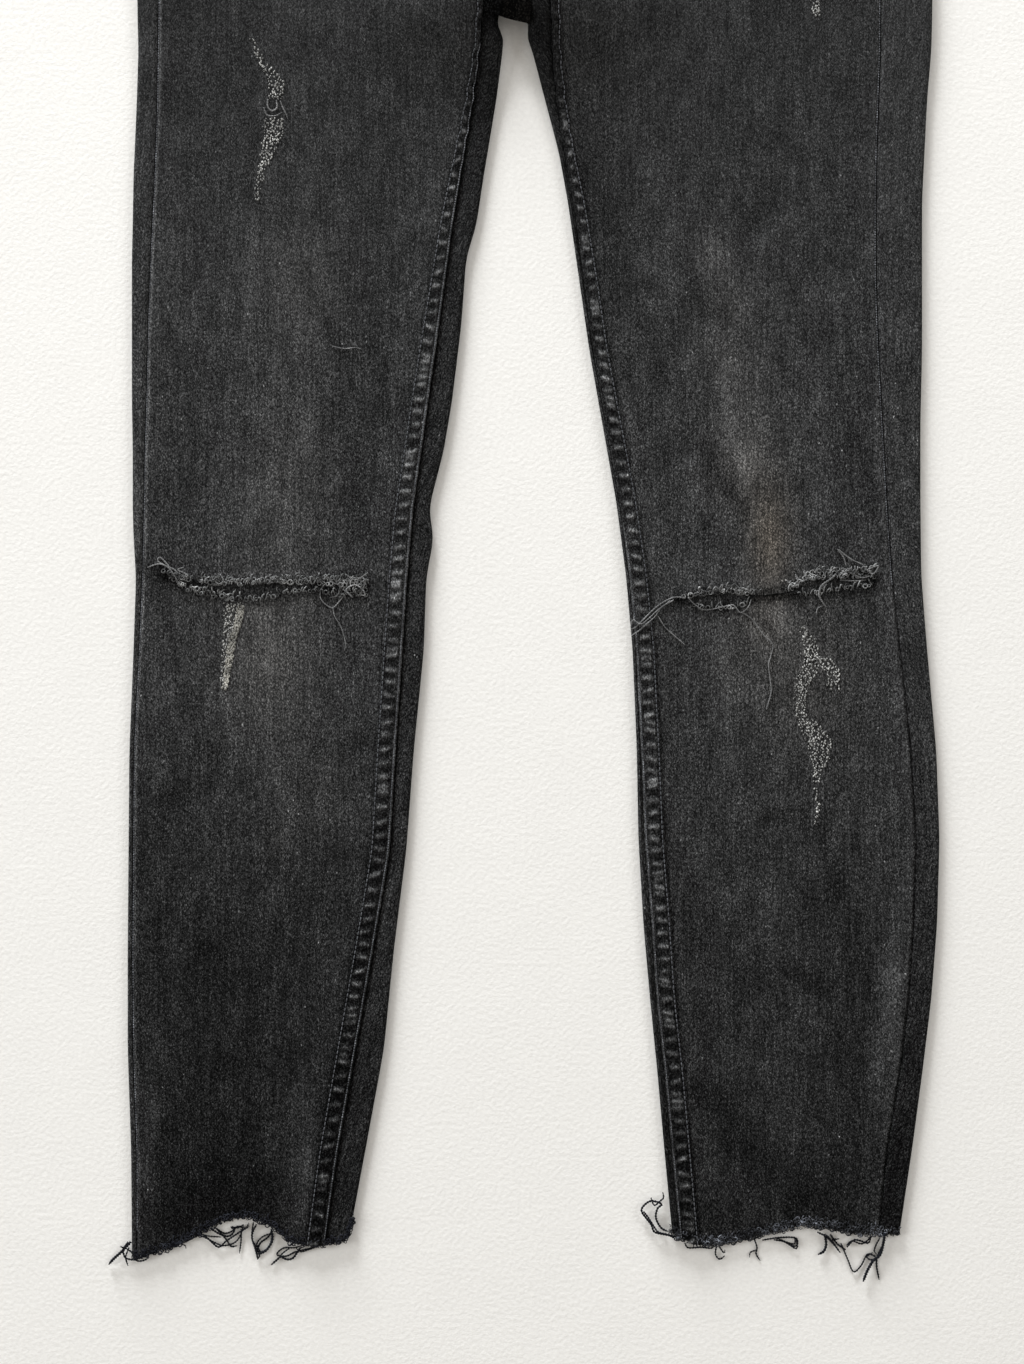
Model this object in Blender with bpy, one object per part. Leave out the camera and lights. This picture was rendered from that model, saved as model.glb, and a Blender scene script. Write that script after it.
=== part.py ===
"""Ripped skinny jeans laid flat with the front up, as the pieces that a maker cuts and sews.

Tables and sizes are in millimetres, and the meshes in metres. X runs across the garment towards the
wearer's left, Y runs up to the waist, and Z up from the surface that the jeans lie on. In the tables a
distance is measured outwards from the fork, so each leg has its own table and both read the same way.
"""

import math

import bpy
import numpy as np

MM = 0.001

# Cloth and seams
WALL = 1.2
SEAM_GAP = 0.3
FELL_WIDTH = 12.0
FELL_STEP = 0.6
FELL_RISE = 0.9
FOLD_ANGLES = (90.0, 45.0, 0.0, -45.0, -90.0)

# Waist
FORK = 24.0
WAIST_SEAM_SIDE = 212.0
WAIST_SEAM_FRONT = 194.0
WAIST_SEAM_BACK = 222.0
LEAN = 0.04
YOKE_OUTSEAM_DROP = 1.2
WAISTBAND_HEIGHT = 38.0
WAISTBAND_WALL = 2.2
WAISTBAND_DEPTH = 6.6
OVERLAP_RISE = WAISTBAND_WALL + SEAM_GAP

# Trims
LOOP_WIDTH = 12.0
LOOP_WALL = 1.4
LOOP_MARGIN = 2.0
LOOP_RAMP = 6.0
BUTTON_RADIUS = 8.5
BUTTON_HEIGHT = 3.0
BUTTON_BEVEL = 1.0
ZIP_WIDTH = 28.0
ZIP_WALL = 1.0
ZIP_FOOT = 80.0
FLY_FOOT = 70.0
FLY_OVERLAP = 5.0
FLY_STEP = 4.0
FACING_SHOWN = 0.8
POCKET_MOUTH_WIDTH = 62.0
POCKET_MOUTH_DEPTH = 75.0
FRONT_ROWS_BELOW_WAIST = (POCKET_MOUTH_DEPTH, 72.0, 60.0, 42.0, 22.0, SEAM_GAP)
FACING_LAP = 9.0
FACING_FOOT = WAIST_SEAM_SIDE - POCKET_MOUTH_DEPTH - FACING_LAP
POCKET_POINT = 14.0
FRINGE_GAP = 0.4

# Plies of the garment from the hems up: its depth at the folds, and how far the plies lie apart between
THICKNESS_HEADINGS = ("height", "depth", "ply_gap")
THICKNESS = (
    (-750, 3.8, 0.6),
    (-640, 4.4, 0.5),
    (-400, 4.4, 0.7),
    (-345, 4.6, 1.4),
    (-290, 4.4, 0.7),
    (-60, 4.4, 0.7),
    (0, 5.6, 2.0),
    (FORK, 5.8, 2.2),
    (FLY_FOOT, 6.0, 2.2),
    (FACING_FOOT, 6.0, 3.6),
    (WAIST_SEAM_SIDE, 6.0, 3.6),
)

# Outlines of the two legs and hips
OUTLINE_HEADINGS = ("height", "outer_fold", "outseam", "inseam", "inner_fold")
RIGHT_OUTLINE = (
    (-750, 228.5, 226.0, 114.0, 100.0),
    (-726, 228.5, 226.0, 111.0, 97.0),
    (-681, 229.0, 226.0, 104.0, 88.0),
    (-621, 231.0, 228.0, 93.5, 77.0),
    (-561, 231.0, 228.5, 83.0, 71.0),
    (-501, 230.5, 228.0, 73.0, 63.5),
    (-441, 230.0, 227.5, 69.5, 59.0),
    (-381, 227.5, 224.5, 65.5, 53.0),
    (-337, 226.0, 222.5, 62.5, 51.5),
    (-314, 227.5, 222.0, 60.5, 47.0),
    (-296, 228.0, 221.5, 59.0, 50.0),
    (-261, 228.0, 221.0, 54.0, 41.0),
    (-231, 228.5, 220.0, 50.0, 36.0),
    (-186, 228.5, 219.0, 43.5, 30.5),
    (-145, 228.5, 217.5, 38.0, 27.5),
    (-126, 228.0, 216.5, 35.5, 21.5),
    (-96, 227.5, 215.0, 30.5, 17.0),
    (-51, 225.5, 213.5, 23.0, 9.5),
    (-21, 224.5, 213.0, 19.0, 5.5),
    (0, 225.0, 212.5, 17.5, 4.5),
    (8, 225.0, 212.5, 17.0, 0.2),
    (FORK, 225.5, 212.5, 9.0, 0.2),
    (70, 223.0, 211.5, -2.0, -2.0),
    (140, 211.0, 202.0, -4.5, -4.5),
    (WAIST_SEAM_SIDE, 187.0, 181.0, -7.5, -7.5),
    (250, 180.0, 175.0, -9.0, -9.0),
)
LEFT_OUTLINE = (
    (-750, 231.0, 220.0, 102.0, 97.5),
    (-726, 233.5, 221.0, 100.0, 96.0),
    (-681, 240.5, 225.5, 95.5, 91.5),
    (-636, 246.5, 233.0, 91.5, 87.5),
    (-591, 252.0, 238.5, 86.5, 83.0),
    (-546, 255.5, 241.5, 83.5, 79.0),
    (-495, 257.0, 243.0, 79.5, 76.0),
    (-441, 255.0, 240.0, 78.0, 75.0),
    (-381, 249.5, 233.5, 75.5, 72.5),
    (-336, 246.0, 228.5, 71.5, 68.5),
    (-291, 245.5, 225.5, 65.5, 62.5),
    (-246, 245.5, 223.0, 57.5, 54.5),
    (-201, 246.5, 220.5, 49.5, 46.5),
    (-156, 246.5, 219.0, 43.0, 40.0),
    (-111, 246.5, 219.0, 36.5, 33.5),
    (-81, 248.0, 219.5, 31.0, 28.0),
    (-51, 249.5, 220.5, 26.5, 20.0),
    (-21, 252.0, 221.5, 23.5, 12.0),
    (0, 252.5, 221.5, 23.5, 3.0),
    (8, 252.5, 221.5, 23.0, 0.2),
    (FORK, 252.5, 222.0, 9.0, 0.2),
    (70, 250.0, 225.0, 2.0, 2.0),
    (140, 236.0, 219.0, 4.5, 4.5),
    (WAIST_SEAM_SIDE, 207.0, 198.0, 7.5, 7.5),
    (250, 200.0, 193.0, 9.0, 9.0),
)

# The raw hem of each leg, scooped where it was cut and frayed
HEM_HEADINGS = ("outwards", "height")
RIGHT_HEM = (
    (98.5, -735.5),
    (113.0, -738.5),
    (128.0, -738.5),
    (135.5, -735.5),
    (143.5, -726.5),
    (155.0, -722.0),
    (165.0, -720.0),
    (176.5, -724.0),
    (188.0, -731.0),
    (201.5, -737.5),
    (215.0, -744.0),
    (230.0, -745.5),
)
LEFT_HEM = (
    (95.0, -731.5),
    (102.0, -737.5),
    (116.0, -738.5),
    (137.0, -736.0),
    (152.5, -731.5),
    (164.0, -729.0),
    (175.0, -726.5),
    (183.0, -726.0),
    (192.5, -729.0),
    (206.5, -731.5),
    (219.5, -732.5),
    (233.5, -731.5),
)
HEM_LEVEL = -735.0
RIGHT_FRINGE_REACH = -753.0
LEFT_FRINGE_REACH = -763.0

# The knee rips: their edges, by how far across the front panel from the outseam. A rip's first and last
# rows are the panel's own edges, where its two edges have run together.
RIP_HEADINGS = ("across", "upper_edge", "lower_edge")
RIGHT_RIP = (
    (0.0, -336.5, -337.5),
    (0.141, -338.5, -339.5),
    (0.229, -340.5, -343.5),
    (0.371, -341.0, -347.0),
    (0.459, -341.0, -350.5),
    (0.574, -340.5, -346.5),
    (0.682, -341.0, -345.5),
    (0.830, -342.0, -346.0),
    (0.898, -345.0, -346.0),
    (1.0, -336.5, -337.5),
)
LEFT_RIP = (
    (0.0, -335.5, -336.5),
    (0.084, -336.5, -341.0),
    (0.167, -336.0, -342.0),
    (0.256, -337.0, -344.0),
    (0.359, -340.0, -346.0),
    (0.400, -346.0, -346.8),
    (0.579, -348.4, -349.2),
    (0.627, -347.5, -355.0),
    (0.716, -347.0, -354.0),
    (0.798, -349.5, -351.0),
    (0.915, -349.0, -350.0),
    (1.0, -335.5, -336.5),
)
ACROSS_PLAIN = (0.0, 0.04, 0.5, 0.96, 1.0)

# The back panel's rows above the fork, and the flat pad of cloth that its patch pocket lifts
SEAT_HEADINGS = ("centre", "side", "on_pocket")
SEAT_ROWS = (
    (34.0, 34.0, True),
    (62.0, 70.0, True),
    (118.0, 140.0, True),
    (128.0, 150.0, True),
    (134.0, 157.0, False),
    (150.0, 178.0, False),
)
UNDER_ACROSS = (0.0, 0.165, 0.205, 0.32, 0.43, 0.53, 0.64, 0.75, 0.86, 0.90, 1.0)
PAD_ACROSS = (0.205, 0.86)
POCKET_ACROSS = (0.215, 0.5325, 0.85)
PAD_FOOT = 8.0
POCKET_FOOT = 10.0
POCKET_TOP = 126.0
POCKET_SLANT = 21.0

# The waistband from its centre to its fold, as parts of that distance
FRONT_LOOP_ACROSS = 0.47
BACK_LOOP_ACROSS = 0.62
UNDERLAP = 22.0
OVERLAP = 6.0
OVERLAP_RAISED = 24.0
OVERLAP_RAMP = 34.0

DENIM = (0.075, 0.076, 0.079)
DENIM_WRONG_SIDE = (0.030, 0.030, 0.032)
FRAYED_YARN = (0.16, 0.16, 0.165)
AGED_METAL = (0.32, 0.29, 0.25)
ZIP_TAPE = (0.02, 0.02, 0.021)


def clear_scene():
    for thing in list(bpy.data.objects):
        bpy.data.objects.remove(thing, do_unlink=True)


def finish_material(name, colour, roughness, metallic=0.0):
    material = bpy.data.materials.new(name)
    material.use_nodes = True
    shader = material.node_tree.nodes["Principled BSDF"]
    shader.inputs["Base Color"].default_value = (*colour, 1.0)
    shader.inputs["Roughness"].default_value = roughness
    shader.inputs["Metallic"].default_value = metallic
    return material


def read(table, headings, wanted, key):
    """A column of a table at any value of its first column, straight between the rows."""
    column = headings.index(wanted)
    return float(np.interp(key, [row[0] for row in table], [row[column] for row in table]))


def depth_at(height):
    return read(THICKNESS, THICKNESS_HEADINGS, "depth", height)


def ply_gap_at(height):
    return read(THICKNESS, THICKNESS_HEADINGS, "ply_gap", height)


def centre_at(height):
    """X of the centre seam, which leans a little towards the wearer's left above the fork."""
    return LEAN * max(height - FORK, 0.0)


def object_from(name, points, faces, material):
    """A mesh object from points in millimetres."""
    mesh = bpy.data.meshes.new(name)
    mesh.from_pydata([tuple(MM * value for value in point) for point in points], [], faces)
    mesh.materials.append(material)
    thing = bpy.data.objects.new(name, mesh)
    bpy.context.scene.collection.objects.link(thing)
    return thing


def cloth(name, face, lining, material, mirrored, open_cells=()):
    """A closed wall of cloth between two equal grids of points; open_cells are left out of it."""
    rows, columns = len(face), len(face[0])
    cells = {(row, column) for row in range(rows - 1) for column in range(columns - 1)} - set(open_cells)
    faces = []
    for row, column in sorted(cells):
        ring = [(row, column), (row, column + 1), (row + 1, column + 1), (row + 1, column)]
        beyond = [(row - 1, column), (row, column + 1), (row + 1, column), (row, column - 1)]
        faces.append([(0, *corner) for corner in ring])
        faces.append([(1, *corner) for corner in reversed(ring)])
        for side, neighbour in enumerate(beyond):
            if neighbour not in cells:
                start, end = ring[side], ring[(side + 1) % 4]
                faces.append([(1, *start), (1, *end), (0, *end), (0, *start)])
    corners = sorted({corner for polygon in faces for corner in polygon})
    index = {corner: number for number, corner in enumerate(corners)}
    grids = (face, lining)
    points = [grids[layer][row][column] for layer, row, column in corners]
    faces = [[index[corner] for corner in polygon] for polygon in faces]
    if mirrored:
        faces = [polygon[::-1] for polygon in faces]
    return object_from(name, points, faces, material)


def plate(name, edges, low, high, material):
    """A flat plate between z low and high, from two rows of (x, y) points."""
    face = [[(x, y, high) for x, y in row] for row in edges]
    lining = [[(x, y, low) for x, y in row] for row in edges]
    return cloth(name, face, lining, material, mirrored=False)


class Side:
    """One half of the garment: its name, the way it lies from the fork and its tables."""

    def __init__(self, name, sign, outline, hem, rip, reach):
        self.name = name
        self.sign = sign
        self.outline = outline
        self.hem = hem
        self.rip = rip
        self.reach = reach

    def place(self, outwards, height, z):
        return (self.sign * outwards, height, z)

    def at(self, heading, height):
        return read(self.outline, OUTLINE_HEADINGS, heading, height)

    def hem_at(self, outwards):
        return read(self.hem, HEM_HEADINGS, "height", outwards)

    def leg_heights(self):
        """The rows of the leg above its hem, up to the fork."""
        lowest = max(height for _, height in self.hem)
        return [row[0] for row in self.outline if lowest < row[0] < FORK]


def slanted(centre, side, share):
    """A height on a row that runs straight from the centre seam (share 0) to the side (share 1)."""
    return centre + (side - centre) * share


def curved(centre, side, share):
    """The same on a row that leaves the centre level, as the waist seams do."""
    return centre + (side - centre) * share**2


# Front panels


def pocket_mouth(height):
    """How far the scooped pocket mouth cuts in from the outseam at a height."""
    below_waist = (WAIST_SEAM_SIDE - height) / POCKET_MOUTH_DEPTH
    return POCKET_MOUTH_WIDTH * math.sqrt(max(1.0 - below_waist**2, 0.0))


def front_hollow(across, height):
    """How far the front sinks between its raised edges towards the back ply."""
    spare = depth_at(height) - 2.0 * WALL - ply_gap_at(height)
    return spare * math.sin(math.pi * min(max(across, 0.0), 1.0)) ** 0.5


def front_columns(side):
    """The front's columns, by how far across it they run: the ends of the rip's stretches and a few more."""
    return sorted({row[0] for row in side.rip} | set(ACROSS_PLAIN))


def across_front(side, across, height):
    """How far out a column of the front lies at a height."""
    outer = side.at("outseam", height) - SEAM_GAP / 2.0 - pocket_mouth(height)
    inner = side.at("inseam", height) + FELL_WIDTH
    return outer + (inner - outer) * across


def level_row(side, height):
    """(outwards, height) of the front's columns on a level row."""
    return [(across_front(side, across, height), height) for across in front_columns(side)]


def rip_row(side, edge):
    """The same on one edge of the knee rip."""
    heights = [(across, read(side.rip, RIP_HEADINGS, edge, across)) for across in front_columns(side)]
    return [(across_front(side, across, height), height) for across, height in heights]


def hem_row(side):
    """The same on the raw hem."""
    distances = [across_front(side, across, HEM_LEVEL) for across in front_columns(side)]
    return [(distance, side.hem_at(distance)) for distance in distances]


def waist_height(side, outwards, side_height, centre_height):
    """The height of a row that curves up from the centre seam, as far out as a point lies."""
    middle = side.at("inseam", centre_height)
    share = (outwards - middle) / (side.at("outer_fold", side_height) - middle)
    return curved(centre_height, side_height, share)


def waist_row(side, side_height, centre_height):
    """The same on a row that follows the curve of the waist seam."""
    distances = [across_front(side, across, side_height) for across in front_columns(side)]
    return [(distance, waist_height(side, distance, side_height, centre_height)) for distance in distances]


def centre_height_of(below_waist):
    """Where a curved row meets the centre seam, from how far below the waist seam it meets the outseam."""
    rise = (WAIST_SEAM_SIDE - WAIST_SEAM_FRONT) * (1.0 - below_waist / POCKET_MOUTH_DEPTH)
    return WAIST_SEAM_SIDE - below_waist - rise


def front_points(side, row, inseam_height, lift, reach):
    """Face and lining of one row, with the felled band or the lifted fly along its inner edge."""
    face, lining = [], []
    for across, (outwards, height) in zip(front_columns(side), row):
        top = depth_at(height) - front_hollow(across, height)
        face.append(side.place(outwards, height, top))
        lining.append(side.place(outwards, height, top - WALL))
    inseam = side.at("inseam", inseam_height)
    band = inseam + FELL_WIDTH - (FLY_STEP if lift else FELL_STEP)
    rise = FELL_RISE if inseam_height < FORK else 0.0
    low = depth_at(inseam_height) - WALL + lift
    for outwards in (band, inseam + SEAM_GAP / 2.0 - reach):
        face.append(side.place(outwards, inseam_height, low + WALL + rise))
        lining.append(side.place(outwards, inseam_height, low))
    return face, lining


def front_panel(side, material, has_fly):
    """The front from the hem to the waist seam, with the knee rip cut through it. Gives back its hem."""
    rip_low = min(row[2] for row in side.rip)
    rip_high = max(row[1] for row in side.rip)
    hem = hem_row(side)
    below = [height for height in side.leg_heights() if height < rip_low]
    above = [height for height in side.leg_heights() if height > rip_high]
    above += [FORK, FLY_FOOT]
    over_fly_foot = [FLY_FOOT + FLY_STEP, FLY_FOOT + 2.0 * FLY_STEP, FACING_FOOT]

    rows = [(hem, hem[-1][1])]
    rows += [(level_row(side, height), height) for height in below]
    rip_from = len(rows)
    for edge in ("lower_edge", "upper_edge"):
        row = rip_row(side, edge)
        rows.append((row, row[-1][1]))
    rows += [(level_row(side, height), height) for height in above]
    fly_from = len(rows)
    rows += [(level_row(side, height), height) for height in over_fly_foot]
    for below_waist in FRONT_ROWS_BELOW_WAIST:
        centre_height = centre_height_of(below_waist)
        rows.append((waist_row(side, WAIST_SEAM_SIDE - below_waist, centre_height), centre_height))

    face, lining = [], []
    for number, (row, inseam_height) in enumerate(rows):
        lift = WALL + SEAM_GAP if has_fly and number >= fly_from else 0.0
        reach = FLY_OVERLAP if has_fly and number > fly_from else 0.0
        face_row, lining_row = front_points(side, row, inseam_height, lift, reach)
        face.append(face_row)
        lining.append(lining_row)
    first, last = (front_columns(side).index(side.rip[end][0]) for end in (1, -2))
    rip_cells = [(rip_from, column) for column in range(first, last)]
    cloth("front_" + side.name, face, lining, material, side.sign > 0, rip_cells)
    return face[0]


# Back panels and yokes, which wrap round both folds of a leg onto its front


def wrap_row(side, height_at, lifted, folded_inside, outseam_drop=0.0):
    """One row from the outseam round the outer fold, under the leg and round the inner fold to the inseam.

    height_at gives the height from how far out a point lies: 1 on the outer fold, 0 on the centre line.
    At the outseam the row lies outseam_drop lower than at the fold.
    """
    face, lining = [], []

    def add(outwards, height, z, inward_x, inward_z):
        face.append(side.place(outwards, height, z))
        lining.append(side.place(outwards + inward_x * WALL, height, z + inward_z * WALL))

    height = height_at(1.0)
    depth = depth_at(height)
    radius = depth / 2.0
    outer = side.at("outer_fold", height) - radius
    outseam = min(side.at("outseam", height) + SEAM_GAP / 2.0, outer - SEAM_GAP)
    add(outseam, height - outseam_drop, depth, 0.0, -1.0)
    for angle in FOLD_ANGLES:
        out, up = math.cos(math.radians(angle)), math.sin(math.radians(angle))
        add(outer + radius * out, height, radius + radius * up, -out, -up)
    inner_height = height_at(0.0)
    inner = side.at("inner_fold", inner_height) + (depth_at(inner_height) / 2.0 if folded_inside else SEAM_GAP / 2.0)
    for across in UNDER_ACROSS[1:]:
        height = height_at(1.0 - across)
        on_pad = lifted and PAD_ACROSS[0] <= across <= PAD_ACROSS[1]
        add(outer + (inner - outer) * across, height, WALL + SEAM_GAP if on_pad else 0.0, 0.0, 1.0)
    radius = depth_at(inner_height) / 2.0
    for angle in FOLD_ANGLES[-2::-1]:
        out, up = math.cos(math.radians(angle)), math.sin(math.radians(angle))
        add(inner - radius * out, inner_height, radius + radius * up, out, -up)
    inseam = side.at("inseam", inner_height) - SEAM_GAP / 2.0
    add(max(inseam, inner + SEAM_GAP), inner_height, 2.0 * radius, 0.0, -1.0)
    return face, lining


def hem_height(side):
    """The hem's height at a share of the way out across the leg."""
    inner, outer = side.at("inner_fold", HEM_LEVEL), side.at("outer_fold", HEM_LEVEL)
    return lambda share: side.hem_at(inner + (outer - inner) * share)


def level(height):
    return lambda share: height


def back_panel(side, material):
    """The back from the hem to the yoke, folded round the leg and flat under the seat. Gives back its hem."""
    rows = [(hem_height(side), False, True)]
    rows += [(level(height), height >= PAD_FOOT, True) for height in side.leg_heights() + [FORK]]
    fork_row = len(rows) - 1
    for centre, side_height, on_pocket in SEAT_ROWS:
        rows.append((lambda share, c=centre, s=side_height: slanted(c, s, share), on_pocket, False))
    grids = [wrap_row(side, *row) for row in rows]
    face = [grid[0] for grid in grids]
    lining = [grid[1] for grid in grids]
    under_end = 1 + len(FOLD_ANGLES) + len(UNDER_ACROSS) - 2
    unfolded = [
        (row, column)
        for row in range(fork_row, len(rows) - 1)
        for column in range(under_end, len(face[0]) - 1)
    ]
    cloth("back_" + side.name, face, lining, material, side.sign < 0, unfolded)
    return face[0][len(FOLD_ANGLES) : under_end + 1]


def yoke(side, material):
    """The shaped piece between the back panel and the waistband."""
    seam_centre, seam_side, _ = SEAT_ROWS[-1]
    middle_centre = (seam_centre + WAIST_SEAM_BACK) / 2.0
    middle_side = (seam_side + WAIST_SEAM_SIDE) / 2.0
    rows = (
        lambda share: slanted(seam_centre, seam_side, share) + SEAM_GAP,
        lambda share: slanted(middle_centre, middle_side, share),
        lambda share: curved(WAIST_SEAM_BACK, WAIST_SEAM_SIDE, share) - 2.0 * SEAM_GAP,
    )
    used = 1 + len(FOLD_ANGLES) + len(UNDER_ACROSS) - 1
    drops = (0.0, 0.0, YOKE_OUTSEAM_DROP)
    grids = [wrap_row(side, row, False, False, drop) for row, drop in zip(rows, drops)]
    face = [grid[0][:used] for grid in grids]
    lining = [grid[1][:used] for grid in grids]
    return cloth("yoke_" + side.name, face, lining, material, side.sign < 0)


# Pockets


def pocket_facing(side, material):
    """The denim that shows in the scooped mouth of the front pocket, tucked under the front panel."""
    face, lining = [], []
    for below_waist in (POCKET_MOUTH_DEPTH + FACING_LAP, *FRONT_ROWS_BELOW_WAIST):
        side_height = WAIST_SEAM_SIDE - below_waist
        centre_height = centre_height_of(min(below_waist, POCKET_MOUTH_DEPTH))
        centre_height = min(centre_height, side_height)
        outer = side.at("outseam", side_height) - SEAM_GAP / 2.0
        mouth = pocket_mouth(side_height)
        tucked = depth_at(side_height) - WALL - SEAM_GAP
        shown = tucked + (WALL + SEAM_GAP) * FACING_SHOWN * mouth / POCKET_MOUTH_WIDTH
        face_row, lining_row = [], []
        for share, inwards, top in (
            (0.0, 0.0, shown),
            (0.5, 0.4, shown),
            (0.85, 0.8, tucked),
            (1.0, FACING_LAP, tucked),
        ):
            outwards = outer - share * mouth - inwards
            height = waist_height(side, outwards, side_height, centre_height)
            face_row.append(side.place(outwards, height, top))
            lining_row.append(side.place(outwards, height, top - WALL))
        face.append(face_row)
        lining.append(lining_row)
    return cloth("pocket_facing_" + side.name, face, lining, material, side.sign > 0)


def back_pocket(side, material):
    """The patch pocket under the seat, pointed at the bottom, flat on the surface."""
    edges = []
    for foot in (True, False):
        row = []
        for across in POCKET_ACROSS:
            share = 1.0 - across
            middle = abs(across - POCKET_ACROSS[1]) / (POCKET_ACROSS[2] - POCKET_ACROSS[1])
            height = POCKET_FOOT + POCKET_POINT * middle if foot else POCKET_TOP + POCKET_SLANT * share
            radius = depth_at(height) / 2.0
            outer, inner = side.at("outer_fold", height) - radius, side.at("inner_fold", height)
            row.append((side.sign * (outer + (inner - outer) * across), height))
        edges.append(row if side.sign < 0 else row[::-1])
    return plate("back_pocket_" + side.name, edges, 0.0, WALL, material)


# Waistband, belt loops, button and zip


def band_point(side, across, upper, back):
    """X and Y on an edge of the waistband, across being 0 on the centre line and 1 at the fold."""
    centre = WAIST_SEAM_BACK if back else WAIST_SEAM_FRONT
    height = curved(centre, WAIST_SEAM_SIDE, min(abs(across), 1.0)) + (WAISTBAND_HEIGHT if upper else 0.0)
    level_height = WAIST_SEAM_SIDE + (WAISTBAND_HEIGHT if upper else 0.0)
    middle = centre_at(level_height)
    fold = side.sign * (side.at("outer_fold", level_height) - WAISTBAND_DEPTH / 2.0)
    return middle + (fold - middle) * across, height


def band_share(side, distance):
    """A distance from the centre line as a part of the way to the waistband's fold."""
    x, _ = band_point(side, 1.0, False, True)
    return distance / abs(x - centre_at(WAIST_SEAM_SIDE))


def waistband(right, left, material):
    """One strip from the underlap round the back to the overlap, lifted where a belt loop lies under it."""
    columns = []
    top = WAISTBAND_DEPTH
    front_right = [-band_share(right, UNDERLAP), 0.0, 0.25, 0.5, 0.75]
    columns += [(right, across, False, top) for across in front_right]
    columns += [(right, "fold", angle, None) for angle in FOLD_ANGLES]
    lift = LOOP_WALL + SEAM_GAP
    for side in (right, left):
        near = band_share(side, LOOP_WIDTH / 2.0 + LOOP_MARGIN)
        far = band_share(side, LOOP_WIDTH / 2.0 + LOOP_MARGIN + LOOP_RAMP)
        under = [
            (BACK_LOOP_ACROSS + far, 0.0),
            (BACK_LOOP_ACROSS + near, lift),
            (BACK_LOOP_ACROSS - near, lift),
            (BACK_LOOP_ACROSS - far, 0.0),
            (BACK_LOOP_ACROSS / 2.0, 0.0),
            (far, 0.0),
            (near, lift),
        ]
        half = [(side, across, True, low) for across, low in under]
        columns += half if side is right else half[::-1]
    columns += [(left, "fold", angle, None) for angle in reversed(FOLD_ANGLES)]
    front_left = [(0.75, 0.0), (0.5, 0.0), (band_share(left, OVERLAP_RAMP), 0.0)]
    front_left += [(band_share(left, OVERLAP_RAISED), OVERLAP_RISE), (-band_share(left, OVERLAP), OVERLAP_RISE)]
    columns += [(left, across, False, top + rise) for across, rise in front_left]

    face, lining = [], []
    for upper in (False, True):
        face_row, lining_row = [], []
        for side, across, third, z in columns:
            if across == "fold":
                x, y = band_point(side, 1.0, upper, True)
                out, up = math.cos(math.radians(third)), math.sin(math.radians(third))
                radius = WAISTBAND_DEPTH / 2.0
                thin = radius - WAISTBAND_WALL
                face_row.append((x + side.sign * radius * out, y, radius + radius * up))
                lining_row.append((x + side.sign * thin * out, y, radius + thin * up))
            else:
                x, y = band_point(side, across, upper, third)
                face_row.append((x, y, z))
                lining_row.append((x, y, z + WAISTBAND_WALL if third else z - WAISTBAND_WALL))
        face.append(face_row)
        lining.append(lining_row)
    return cloth("waistband", face, lining, material, mirrored=True)


def belt_loop(name, side, across, back, material):
    """A folded strip as high as the waistband, on its face in front and under it at the back."""
    middle_low, y_low = band_point(side, across, False, back)
    middle_high, y_high = band_point(side, across, True, back)
    half = LOOP_WIDTH / 2.0
    edges = [
        [(middle_low - half, y_low + SEAM_GAP), (middle_low + half, y_low + SEAM_GAP)],
        [(middle_high - half, y_high), (middle_high + half, y_high)],
    ]
    low = 0.0 if back else WAISTBAND_DEPTH + SEAM_GAP
    return plate("belt_loop_" + name, edges, low, low + LOOP_WALL, material)


def button(left, material):
    """The round shank button on the overlap."""
    x, y_low = band_point(left, band_share(left, (OVERLAP_RAISED - OVERLAP) / 2.0), False, False)
    foot = WAISTBAND_DEPTH + OVERLAP_RISE + SEAM_GAP
    rings = (
        (BUTTON_RADIUS, foot),
        (BUTTON_RADIUS, foot + BUTTON_HEIGHT - BUTTON_BEVEL),
        (BUTTON_RADIUS - BUTTON_BEVEL, foot + BUTTON_HEIGHT),
    )
    sides = 24
    points, faces = [], []
    for radius, z in rings:
        for step in range(sides):
            turn = 2.0 * math.pi * step / sides
            points.append((x + radius * math.cos(turn), y_low + WAISTBAND_HEIGHT / 2.0 + radius * math.sin(turn), z))
    for ring in range(len(rings) - 1):
        for step in range(sides):
            start, beside = ring * sides + step, ring * sides + (step + 1) % sides
            faces.append([start, beside, beside + sides, start + sides])
    faces.append(list(range(sides))[::-1])
    faces.append(list(range((len(rings) - 1) * sides, len(rings) * sides)))
    return object_from("button", points, faces, material)


def closed_zip(material):
    """The closed zip as one flat strip behind the fly, between the two plies."""
    high = depth_at(ZIP_FOOT) - WALL - 2.0 * SEAM_GAP
    edges = []
    for height in (ZIP_FOOT, WAIST_SEAM_FRONT - SEAM_GAP):
        centre = centre_at(height)
        edges.append([(centre - ZIP_WIDTH / 2.0, height), (centre + ZIP_WIDTH / 2.0, height)])
    return plate("zip", edges, high - ZIP_WALL, high, material)


def fringe(side, hems, material):
    """The reach of the frayed yarns below the hems of both plies, as one plain plate."""
    plies = [sorted((side.sign * x, y) for x, y, _ in hem) for hem in hems]
    distances = sorted({outwards for ply in plies for outwards, _ in ply})
    hem = []
    for distance in distances:
        lowest = min(np.interp(distance, *zip(*ply)) for ply in plies)
        hem.append((side.sign * distance, float(lowest) - FRINGE_GAP))
    tips = [(x, side.reach) for x, _ in hem]
    edges = [tips, hem] if side.sign > 0 else [tips[::-1], hem[::-1]]
    return plate("fringe_" + side.name, edges, 0.0, depth_at(side.reach), material)


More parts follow.
